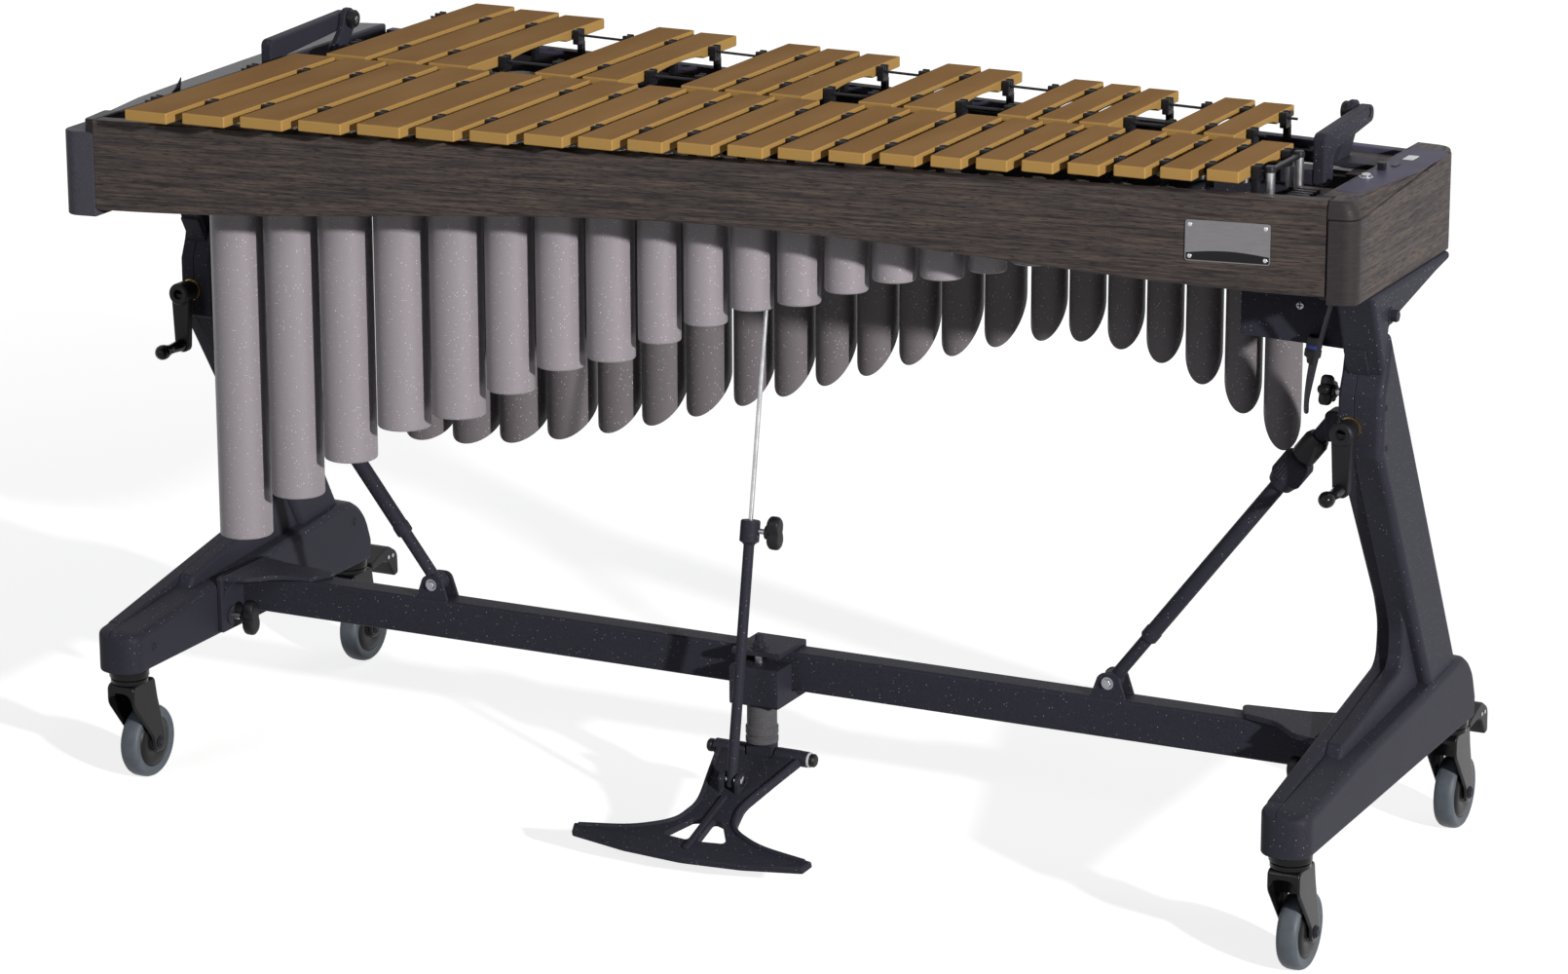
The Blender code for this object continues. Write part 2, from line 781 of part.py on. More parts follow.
def leg_outline():
    """Side view of a leg: a long foot, a hump over the rear caster, and a leaning post."""
    foot = [(TOE_Y, 0), (HEEL_Y, 0), (HEEL_Y, 0.032), (0.262, 0.055), (0.245, 0.072), (0.2176, 0.088)]
    instep = [(0.070, 0.107), (-0.097, 0.075), (-0.103, 0.064), (TOE_Y, 0.046)]
    outline = [(y, FOOT_UNDER + z) for y, z in foot]
    outline += [POST_BACK_TOP, SEAT[0], (GUIDE_FRONT, GUIDE_TOP), (GUIDE_FRONT, 0.512)]
    outline += [POST_FRONT[1], POST_FRONT[0], (0.081, 0.298), (0.085, 0.276)]
    return outline + [(y, FOOT_UNDER + z) for y, z in instep]


def foot_outline():
    """Side view of the wider lower part of the foot."""
    outline = [(TOE_Y, 0), (HEEL_Y, 0), (HEEL_Y, 0.032), (0.262, 0.055), (0.245, 0.068)]
    outline += [(0.215, 0.076), (TOE_Y, 0.034)]
    return [(y, FOOT_UNDER + z) for y, z in outline]


def foot_plan():
    """Plan of a foot, a little over its width: round at the toe, square at the heel."""
    half = FOOT_HALF + GAP
    toe = corner((FOOT_X, TOE_Y + half), half, math.pi, math.pi, 10)
    return toe + [(FOOT_X + half, HEEL_Y + GAP), (FOOT_X - half, HEEL_Y + GAP)]


def to_end(side):
    """Both legs are the same casting: a piece made for the high end is shifted to the low end, not mirrored."""
    return Matrix.Translation((0 if side > 0 else -2 * FOOT_X, 0, 0))


def legs():
    for side, place in SIDES:
        tenon_room = lean_bar(-TENON_LOW - 0.004, 0.1, TENON_WIDE + 2 * GAP, TENON_DEEP + 2 * GAP)
        plan = plate(foot_plan(), "XY", FOOT_UNDER - 0.01, BAR_TOP)
        flat = plate(leg_outline(), "YZ", LEG_INNER, LEG_SEAM - SEAM_SPACE / 2, SHELL_CHAMFER)
        flat = cut(flat, copied(tenon_room, Matrix.Identity(4)))
        full = plate(leg_outline(), "YZ", LEG_SEAM + SEAM_SPACE / 2, LEG_OUTER, SHELL_CHAMFER)
        flare = plate(foot_outline(), "YZ", LEG_SEAM + SEAM_SPACE / 2, FOOT_X + FOOT_HALF, SHELL_CHAMFER)
        full = cut(union(full, flare), tenon_room)
        halves = ("inner", "outer") if side > 0 else ("outer", "inner")
        for shell, half in zip((flat, full), halves):
            shell = combined(shell, copied(plan, Matrix.Identity(4)), "INTERSECT")
            part(moved(shell, to_end(side)), f"leg_{half}_shell_{place}", "black_coat")
        bpy.data.objects.remove(plan, do_unlink=True)


def post_inner(side):
    """Distance from the middle to the inner face of a post, which stands off the middle of its foot."""
    return LEG_INNER if side > 0 else 2 * FOOT_X - LEG_OUTER


def leg_heads():
    """The castings that carry the frame: a long gusset, a plate for the resonators, and a sliding tenon."""
    under = FRAME_LOW - BLOCK_DROP - GAP
    seat = [(y, z + GAP / math.cos(LEAN)) for y, z in SEAT]
    outline = [(-0.078, under), (-0.040, 0.605), seat[0], seat[1], (0.012, 0.634), (0.054, 0.648)]
    outline += [(0.143, 0.663), (0.180, 0.671), (0.180, under)]
    for side, place in SIDES:
        head = plate(outline, "YZ", HEAD_INNER, HEAD_OUTER, 0.003)
        head = moved(union(head, lean_bar(-TENON_LOW, 0.06, TENON_WIDE, TENON_DEEP)), to_end(side))
        root = (HEAD_INNER if side > 0 else 2 * FOOT_X - HEAD_OUTER) + 0.006
        wing = moved(box((WING_END, -0.022, 0.620), (root, -0.017, under)), flip(side))
        head = union(head, wing)
        if side < 0:
            ledge = box((-root, -0.055, under - LEDGE_TALL), (inner_wall(side), 0.150, under))
            head = union(head, ledge)
        part(head, f"leg_head_{place}", "black_coat")


def crank_parts():
    """A folding-style winding handle on the front of each post."""
    x, z = FOOT_X - 0.013, 0.543
    front = GUIDE_FRONT - GAP
    for side, place in SIDES:
        profile = ((0, 0.030), (0.010, 0.030), (0.013, 0.027), (0.013, 0), (0, 0))
        hub = turned(profile, (x, front, z), (x, front - 1, z))
        arm = plate(
            [(x - 0.011, z), (x + 0.011, z), (x + 0.008, z - 0.068), (x - 0.008, z - 0.068)],
            "XZ",
            front - 0.027,
            front - 0.015,
        )
        grip_at = (x, front - 0.020, z - 0.060)
        grip = turned(
            ((0, 0.052), (0.006, 0.051), (0.009, 0.045), (0.006, 0.020), (0.006, 0), (0, 0)),
            grip_at,
            (x, front - 1.020, z - 0.060),
            10,
        )
        handle = moved(union(hub, arm, grip), to_end(side))
        part(handle, f"crank_{place}", "black_plastic", to_end(side) @ Vector((x, front, z)))


def star_knob(start, end, radius, lobes=5, shank=0.0045):
    """A clamping knob with lobes round its rim, on a plain shank from start to end."""
    matrix, length = along(start, end)
    steps = lobes * 4
    rim = []
    for k in range(steps):
        turn = 2 * math.pi * k / steps
        size = radius * (0.80 + 0.20 * math.cos(lobes * turn))
        rim.append((size * math.cos(turn), size * math.sin(turn)))
    head = plate(rim, "XY", length / 2 - 0.014, length / 2)
    return union(moved(head, matrix), rod(start, Vector(end).lerp(Vector(start), 0.1), shank, 8))


def clamp_knobs():
    """Knobs on the inner faces of the legs: one locks the height, one holds the saddle."""
    for side, place in SIDES:
        inner = post_inner(side) - GAP
        knob = star_knob((inner, -0.020, 0.574), (inner - 0.027, -0.020, 0.574), 0.018)
        part(moved(knob, flip(side)), f"height_knob_{place}", "black_plastic", (side * inner, -0.020, 0.574))
        face = LEG_INNER - GAP - SADDLE_PLATE - GAP
        y = BEAM_Y - BEAM_DEEP / 2 - 0.026
        z = BEAM_TOP - BEAM_TALL
        knob = star_knob((face, y, z), (face - 0.032, y, z), 0.016, 2)
        part(moved(knob, flip(side)), f"saddle_knob_{place}", "black_plastic", (side * face, y, z))


def beam_and_saddles():
    end = LEG_INNER - GAP - SADDLE_PLATE - GAP
    near, far = BEAM_Y - BEAM_DEEP / 2, BEAM_Y + BEAM_DEEP / 2
    beam = box((-end, near, BEAM_TOP - BEAM_TALL), (end, far, BEAM_TOP))
    lugs = []
    for side in (-1, 1):
        for y in (BEAM_Y - 0.012, BEAM_Y + 0.012):
            x, z = side * BRACE_FOOT[0], BRACE_FOOT[1]
            ear = [(x - 0.020, BEAM_TOP - 0.002), (x + 0.020, BEAM_TOP - 0.002), (x + 0.012, z + 0.011)]
            lugs.append(plate(ear + [(x - 0.012, z + 0.011)], "XZ", y - 0.002, y + 0.002))
    part(union(beam, together(lugs)), "cross_beam", "black_coat")
    for side, place in SIDES:
        inner = LEG_INNER - GAP
        high = BEAM_TOP + SADDLE_PLATE
        wall = box((inner - SADDLE_PLATE, near - 0.048, FOOT_UNDER + 0.003), (inner, far + 0.020, high))
        flare = [(inner, near - 0.048), (inner - 0.030, near - 0.040), (inner - 0.060, near - 0.010)]
        flare += [(inner - 0.100, near), (inner - 0.115, far), (inner - 0.040, far + 0.008), (inner, far + 0.020)]
        top = plate(flare, "XY", BEAM_TOP + GAP, high)
        part(moved(union(wall, top), flip(side)), f"beam_saddle_{place}", "black_coat")


def braces():
    """Diagonal struts from the beam to the posts, each with a knurled nut."""
    for side, place in SIDES:
        foot = Vector((BRACE_FOOT[0], BEAM_Y, BRACE_FOOT[1]))
        head = Vector((BRACE_HEAD[0], BEAM_Y, BRACE_HEAD[1]))
        way = (head - foot).normalized()
        long = (head - foot).length
        eye = plate(
            corner((foot.x, foot.z), 0.011, 0, 2 * math.pi * 11 / 12, 11), "XZ", BEAM_Y - 0.0095, BEAM_Y + 0.0095
        )
        tube = rod(foot, head, BRACE_RADIUS, 10)
        stop = post_inner(side) - GAP
        block = box((head.x - 0.006, BEAM_Y - 0.012, head.z - 0.020), (stop, BEAM_Y + 0.012, head.z + 0.016))
        part(moved(union(tube, eye, block), flip(side)), f"brace_{place}", "black_coat")
        near, far = foot + way * (long - 0.095), foot + way * (long - 0.095 + COLLAR_LONG)
        bore = BRACE_RADIUS + GAP
        inset = COLLAR_RADIUS - 0.004
        profile = ((bore, COLLAR_LONG), (inset, COLLAR_LONG), (COLLAR_RADIUS, COLLAR_LONG - 0.005))
        profile += ((COLLAR_RADIUS, 0.010), (inset, 0), (bore, 0), (bore, COLLAR_LONG))
        nut = turned(profile, near, far, 14)
        part(moved(nut, flip(side)), f"brace_nut_{place}", "black_coat")


# Pedal


def pedal_place(u, v, w):
    """World place of a point on the pedal: u across, v forward from the hinge, w above its plate."""
    y = PEDAL_HINGE[0] - v * math.cos(PEDAL_TILT) - w * math.sin(PEDAL_TILT)
    z = PEDAL_HINGE[1] - v * math.sin(PEDAL_TILT) + w * math.cos(PEDAL_TILT)
    return Vector((PEDAL_X + u, y, z))


def pedal_matrix():
    """From a flat pedal drawn with v along -Y to the tilted one on its hinge."""
    return Matrix.Translation((PEDAL_X, *PEDAL_HINGE)) @ Matrix.Rotation(PEDAL_TILT, 4, "X")


def pedal_parts():
    half = [(0.052, 0.020), (0.052, -0.012), (0.044, -0.045), (0.032, -0.080), (0.028, -0.110), (0.034, -0.135)]
    half += [(0.056, -0.158), (0.094, -0.172), (0.145, -0.180), (0.140, -0.196), (0.070, -0.208)]
    outline = half + [(0, -0.212)] + [(-u, v) for u, v in reversed(half)]
    board = plate(outline, "XY", -PEDAL_THICK / 2, PEDAL_THICK / 2)
    windows = []
    for side in (-1, 1):
        corners = [(0.005, -0.135), (0.005, -0.180), (0.040, -0.176), (0.018, -0.140)]
        windows.append(plate([(side * u, v) for u, v in corners], "XY", -PEDAL_THICK, PEDAL_THICK))
    slot = 0.018
    windows.append(box((-slot, -0.011, -2 * PEDAL_THICK), (slot, 0.012, 2 * PEDAL_THICK)))
    knuckle = rod((-0.058, 0, 0), (0.058, 0, 0), 0.009, 10)
    ears = []
    for side in (-1, 1):
        shape = ((-0.012, 0), (0.012, 0), (0.008, 0.022), (-0.008, 0.022))
        ear = [(v - ROD_PIN[0], w) for v, w in shape]
        at = side * (ROD_RADIUS + 0.004)
        ears.append(plate(ear, "YZ", at - 0.0025, at + 0.0025))
    board = cut(union(board, knuckle, together(ears)), together(windows))
    holes = [
        rod((-0.07, 0, 0), (0.07, 0, 0), PIN_RADIUS + 2 * GAP, 8),
        rod((-0.02, -ROD_PIN[0], ROD_PIN[1]), (0.02, -ROD_PIN[0], ROD_PIN[1]), PIN_RADIUS + 2 * GAP, 8),
    ]
    board = moved(cut(board, together(holes)), pedal_matrix())
    hinge = (PEDAL_X, *PEDAL_HINGE)
    part(board, "pedal", "black_coat", hinge)

    y, z = PEDAL_HINGE
    pin = rod((PEDAL_X - 0.062, y, z), (PEDAL_X + 0.062, y, z), PIN_RADIUS, 8)
    caps = [rod((PEDAL_X + s * 0.0585, y, z), (PEDAL_X + s * 0.066, y, z), 0.0075, 10) for s in (-1, 1)]
    under = BEAM_TOP - BEAM_TALL - 0.012
    foot = 0.016
    tongue = box((PEDAL_X - foot, y - 0.0085, z - 0.010), (PEDAL_X + foot, y + 0.0085, z + 0.016))
    profile = ((0, under + 0.002), (COLUMN_RADIUS, under + 0.002), (COLUMN_RADIUS, z + 0.035))
    profile += ((COLUMN_RADIUS + 0.0015, z + 0.033), (COLUMN_RADIUS + 0.0015, z + 0.014), (0, z + 0.014))
    column = union(turned(profile, (PEDAL_X, y, 0), (PEDAL_X, y, 1), 12), tongue)

    near, far = BEAM_Y - BEAM_DEEP / 2 - GAP, BEAM_Y + BEAM_DEEP / 2 + GAP
    half_wide = 0.030
    lip = y - 0.022
    top = BEAM_TOP + 0.006
    c_shape = [(lip, under), (far + 0.005, under), (far + 0.005, top), (lip + 0.006, top)]
    c_shape += [(lip + 0.006, BEAM_TOP + GAP), (far, BEAM_TOP + GAP), (far, BEAM_TOP - BEAM_TALL - GAP)]
    c_shape += [(near, BEAM_TOP - BEAM_TALL - GAP), (near, BEAM_TOP - 0.012), (lip, BEAM_TOP - 0.012)]
    clamp = plate(c_shape, "YZ", PEDAL_X - half_wide, PEDAL_X + half_wide)
    profile = ((0, 0.016), (0.009, 0.016), (0.010, 0.012), (0.010, -0.030), (0, -0.030))
    bolt_at = (PEDAL_X - 0.004, y + 0.002, top)
    bolt = turned(profile, bolt_at, (PEDAL_X - 0.004, y + 0.002, top + 1), 10)
    part(union(clamp, column, pin, together(caps), bolt), "pedal_mount", "black_coat", hinge)


def rod_parts():
    """The rod from pedal to damper: a pin, a lower tube with a collar, and a steel wire that slides in it."""
    pin_at = pedal_place(0, *ROD_PIN)
    top = Vector((PEDAL_X, *ROD_TOP))
    way = (top - pin_at).normalized()
    reach = ROD_RADIUS + 0.0065
    pin = rod(pin_at - Vector((reach, 0, 0)), pin_at + Vector((reach, 0, 0)), PIN_RADIUS, 10)
    part(pin, "rod_pin", "steel", pin_at)

    collar = pin_at + way * ROD_COLLAR_AT
    tube = rod(pin_at - way * 0.008, collar, ROD_RADIUS, 10)
    cap = rod(collar - way * 0.003, collar + way * 0.020, 0.011, 12)
    lower = union(tube, cap)
    lower = cut(lower, rod(pin_at + way * 0.10, collar + way * 0.03, WIRE_RADIUS + GAP, 10))
    lower = cut(lower, rod(pin_at - Vector((0.02, 0, 0)), pin_at + Vector((0.02, 0, 0)), PIN_RADIUS + GAP, 10))
    part(lower, "pedal_rod", "black_coat", pin_at)
    wire = rod(pin_at + way * 0.115, top, WIRE_RADIUS, 10)
    part(wire, "damper_wire", "steel", collar)
    start = collar + way * 0.009 + Vector((0.011 + GAP, 0, 0))
    knob = star_knob(start, start + Vector((0.026, 0, 0)), 0.017, 2, 0.003)
    part(knob, "rod_knob", "black_plastic", start)


# Damper


def damper_parts():
    """A felted bar that presses on the inner bar ends, hung on an arm at each end."""
    felt_top = BAR_TOP - BAR_THICK - GAP
    middle = ROW_SPACE / 2

    def strip(x0, x1, z0, z1, deep):
        ends = [(x, split_y(x) + middle) for x in (x0, x1)]
        outline = [(x, y - deep / 2) for x, y in ends] + [(x, y + deep / 2) for x, y in reversed(ends)]
        return plate(outline, "XY", z0, z1)

    hinge = (0, HUB_Y, HUB_Z)
    felt = strip(-KEY_END, KEY_END, felt_top - FELT_TALL, felt_top, DAMPER_DEEP - 0.004)
    part(felt, "damper_felt", "felt", hinge)
    low = felt_top - FELT_TALL - GAP - DAMPER_TALL
    bar = strip(-DAMPER_REACH, DAMPER_REACH, low, low + DAMPER_TALL, DAMPER_DEEP)
    lug_y = ROD_TOP[0]
    lug_low = (PEDAL_X - 0.010, lug_y - 0.010, ROD_TOP[1] + 0.006)
    lug = box(lug_low, (PEDAL_X + 0.010, split_y(0) + middle, low + 0.004))
    part(union(bar, lug), "damper_bar", "black_coat", hinge)
    for side, place in SIDES:
        y = split_y(side * DAMPER_REACH) + middle
        near, far = y - 0.016, HUB_Y + 0.015
        outline = [(near, low), (near, HUB_Z + 0.004), (near + 0.006, HUB_Z + 0.010), (far - 0.008, HUB_Z + 0.012)]
        outline += [(far, HUB_Z + 0.005), (far, HUB_Z - 0.010), (near + 0.032, HUB_Z - 0.010), (near + 0.026, low)]
        inner = DAMPER_REACH + GAP
        arm = plate([(a, b) for a, b in outline], "YZ", inner, inner + ARM_WIDE, 0.002)
        bore = rod((inner - 0.01, HUB_Y, HUB_Z), (inner + ARM_WIDE + 0.01, HUB_Y, HUB_Z), 0.005 + GAP, 12)
        part(moved(cut(arm, bore), flip(side)), f"damper_arm_{place}", "black_coat", hinge)
        outer = inner + ARM_WIDE + GAP
        wall = abs(inner_wall(side)) - GAP
        base = RAIL_TOP + BRACKET_ABOVE
        web = [(HUB_Y - 0.030, base), (HUB_Y + 0.014, base), (HUB_Y + 0.014, HUB_Z)]
        web += corner((HUB_Y, HUB_Z), HUB_RADIUS, 0, math.pi, 6)[1:-1] + [(HUB_Y - 0.014, HUB_Z)]
        bracket = plate(web, "YZ", outer, min(outer + 0.008, wall))
        foot = box((outer, HUB_Y - 0.030, base), (wall, HUB_Y + 0.014, base + 0.006))
        stub = rod((inner - 0.006, HUB_Y, HUB_Z), (outer + 0.004, HUB_Y, HUB_Z), 0.005, 12)
        head = rod((inner - 0.010, HUB_Y, HUB_Z), (inner - 0.001, HUB_Y, HUB_Z), HUB_RADIUS, 12)
        part(moved(union(bracket, foot, stub, head), flip(side)), f"damper_bracket_{place}", "black_coat", hinge)


# Casters


def casters():
    for side, place in SIDES:
        for end, where in ((-1, "front"), (1, "rear")):
            x, y = side * FOOT_X, FOOT_Y + end * CASTER_REACH
            top = FOOT_UNDER - GAP
            axle_y = y + CASTER_TRAIL
            swivel = (x, y, top)
            ring = rod((x, y, top - 0.018), (x, y, top), RING_RADIUS, 12)
            half = FORK_INSIDE / 2
            wide = half + CHEEK_THICK
            crown = top - 0.016
            arch = [(x - wide, 0), (x - wide, crown), (x + wide, crown), (x + wide, 0)]
            arch += [(x + half, 0), (x + half, crown - 0.005), (x - half, crown - 0.005), (x - half, 0)]
            cheek = [(y - 0.020, crown + 0.01), (y + 0.026, crown + 0.01), (y + 0.026, crown - 0.010)]
            cheek += [(y + 0.032, crown - 0.026)]
            cheek += [(axle_y + 0.010, WHEEL_RADIUS + 0.004), (axle_y + 0.006, WHEEL_RADIUS - 0.008)]
            cheek += [(axle_y - 0.006, WHEEL_RADIUS - 0.008), (axle_y - 0.012, WHEEL_RADIUS + 0.004)]
            cheek += [(y - 0.020, crown - 0.033)]
            fork = plate(arch, "XZ", y - 0.05, y + 0.08)
            fork = combined(fork, plate(cheek, "YZ", x - 0.05, x + 0.05), "INTERSECT")
            reach = wide + 0.003
            axle = rod((x - reach, axle_y, WHEEL_RADIUS), (x + reach, axle_y, WHEEL_RADIUS), AXLE_RADIUS, 8)
            fork = union(fork, ring, axle)
            part(fork, f"caster_fork_{where}_{place}", "black_plastic", swivel)

            w = WHEEL_WIDE / 2
            profile = ((AXLE_RADIUS + GAP, w + 0.002), (0.014, w - 0.002), (WHEEL_RADIUS - 0.005, w))
            profile += ((WHEEL_RADIUS, w - 0.006),)
            profile += tuple((r, -h) for r, h in reversed(profile)) + (profile[0],)
            wheel = turned(profile, (x, axle_y, WHEEL_RADIUS), (x + 1, axle_y, WHEEL_RADIUS), 14)
            part(wheel, f"caster_wheel_{where}_{place}", "tyre_grey", (x, axle_y, WHEEL_RADIUS))
            if where == "rear":
                pivot = (x, y + 0.026 + GAP + 0.004, crown - 0.0025)
                pad = corner((pivot[1], pivot[2]), 0.004, math.pi / 2, math.pi)
                pad += [(pivot[1] + 0.030, pivot[2] - 0.006), (pivot[1] + 0.046, pivot[2] - 0.006)]
                pad += [(pivot[1] + 0.044, pivot[2] + 0.010), (pivot[1] + 0.012, pivot[2] + 0.012)]
                lever = plate(pad, "YZ", x - 0.014, x + 0.014)
                part(lever, f"brake_lever_{place}", "black_plastic", pivot)


# Motor and cable


def motor_parts():
    """The motor that turns the fans, on the inner wall of the high end, and its cable under the frame."""
    wall = inner_wall(1) - GAP
    y, z = 0.036, FRAME_LOW + 0.042
    case = rod((wall - 0.040, y, z), (wall, y, z), 0.022, 16)
    boss = rod((wall - 0.046, y, z), (wall - 0.039, y, z), 0.008, 12)
    part(union(case, boss), "fan_motor", "black_plastic")

    part(pipe(CABLE_ROUTE, CABLE_RADIUS, 2), "motor_cable", "cable")
    end = Vector(CABLE_ROUTE[-1])
    way = (end - Vector(CABLE_ROUTE[-2])).normalized()
    start = end + way * GAP
    profile = ((0, 0.030), (0.008, 0.030), (0.008, 0.016), (0.009, 0.015), (0.009, 0.008), (0.006, 0.006))
    plug = turned(profile + ((0.005, 0), (0, 0)), start, start + way, 12)
    part(plug, "cable_plug", "black_plastic", start)


bars()
bar_rails()
resonators()
fans()
front_rail()
rear_rail()
end_blocks()
name_plate()
legs()
leg_heads()
crank_parts()
clamp_knobs()
beam_and_saddles()
braces()
pedal_parts()
rod_parts()
damper_parts()
casters()
motor_parts()

bpy.data.collections.remove(workshop)
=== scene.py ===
import json
import math

import bmesh
import bpy
from mathutils import Matrix, Vector

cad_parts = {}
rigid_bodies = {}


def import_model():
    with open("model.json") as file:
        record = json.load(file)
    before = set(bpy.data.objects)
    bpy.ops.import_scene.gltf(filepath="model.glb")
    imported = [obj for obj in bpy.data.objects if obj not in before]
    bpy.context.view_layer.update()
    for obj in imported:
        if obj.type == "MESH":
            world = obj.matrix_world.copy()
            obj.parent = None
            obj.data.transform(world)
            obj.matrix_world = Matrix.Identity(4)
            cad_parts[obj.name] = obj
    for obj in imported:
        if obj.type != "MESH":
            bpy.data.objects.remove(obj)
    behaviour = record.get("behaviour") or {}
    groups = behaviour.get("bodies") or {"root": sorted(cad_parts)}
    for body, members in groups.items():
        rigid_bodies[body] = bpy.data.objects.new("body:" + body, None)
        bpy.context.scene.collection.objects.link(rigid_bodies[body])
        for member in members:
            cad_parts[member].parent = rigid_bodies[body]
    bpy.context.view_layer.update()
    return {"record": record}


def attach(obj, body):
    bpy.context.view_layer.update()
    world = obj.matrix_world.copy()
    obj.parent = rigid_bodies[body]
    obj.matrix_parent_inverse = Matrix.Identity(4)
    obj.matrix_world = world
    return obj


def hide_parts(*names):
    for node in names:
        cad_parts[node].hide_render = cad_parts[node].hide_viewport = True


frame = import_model()
scene = bpy.context.scene
for leftover in [o for o in bpy.data.objects if o.type in ("CAMERA", "LIGHT") or o.name == "Cube"]:
    bpy.data.objects.remove(leftover)
nodeBody = {n: body for body, nodes in frame["record"]["behaviour"]["bodies"].items() for n in nodes}
print("frame loaded:", len(nodeBody), "nodes")

# camera as in the photograph, x along the keys, y to the back, z up

view = dict(
    place=(2.4486, -4.9341, 1.9422),
    yaw=26.32,
    pitch=16.16,
    roll=-0.16,
    lens=118.5,
    shift=(0.00505, 0.0205),
)


def makeCamera(s):
    yaw, pitch, roll = (math.radians(s[k]) for k in ("yaw", "pitch", "roll"))
    right = Vector((math.cos(yaw), math.sin(yaw), 0))
    ahead = Vector((-math.sin(yaw) * math.cos(pitch), math.cos(yaw) * math.cos(pitch), -math.sin(pitch)))
    up = right.cross(ahead)
    right, up = right * math.cos(roll) + up * math.sin(roll), up * math.cos(roll) - right * math.sin(roll)
    lens = bpy.data.cameras.new("photoLens")
    lens.sensor_width = 36
    lens.lens = s["lens"]
    lens.shift_x, lens.shift_y = s["shift"]
    lens.clip_end = 60
    camera = bpy.data.objects.new("photoCamera", lens)
    turn = Matrix((right, up, -ahead)).transposed().to_4x4()
    camera.matrix_world = Matrix.Translation(s["place"]) @ turn
    scene.collection.objects.link(camera)
    scene.camera = camera


makeCamera(view)

# floor, sky and lamps

studio = dict(
    floorColour=(0.45, 0.45, 0.45),
    floorGlow=(0.81, 0.97),
    ambient=0.045,
    key=dict(turn=60, lift=17, far=12, size=0.42, power=1680, colour=(1.0, 0.97, 0.95)),
    fill=dict(turn=-20, lift=26, far=4.8, size=1.8, power=34, colour=(0.94, 0.96, 1.0)),
    back=dict(turn=150, lift=60, far=4.2, size=2.4, power=30, colour=(0.96, 0.97, 1.0)),
)


def wire(tree, start, end):
    tree.links.new(start, end)


def add(tree, kind, **values):
    node = tree.nodes.new(kind)
    for key, value in values.items():
        if hasattr(node, key):
            setattr(node, key, value)
        else:
            node.inputs[key.replace("_", " ")].default_value = value
    return node


def paleRays(tree):
    # 1 for rays that see the background itself, 0 for rays that only light the object
    path = add(tree, "ShaderNodeLightPath")
    either = add(tree, "ShaderNodeMath", operation="MAXIMUM")
    anyRay = add(tree, "ShaderNodeMath", operation="MAXIMUM")
    wire(tree, path.outputs["Is Camera Ray"], either.inputs[0])
    wire(tree, path.outputs["Is Glossy Ray"], either.inputs[1])
    wire(tree, either.outputs[0], anyRay.inputs[0])
    wire(tree, path.outputs["Is Transmission Ray"], anyRay.inputs[1])
    return anyRay.outputs[0]


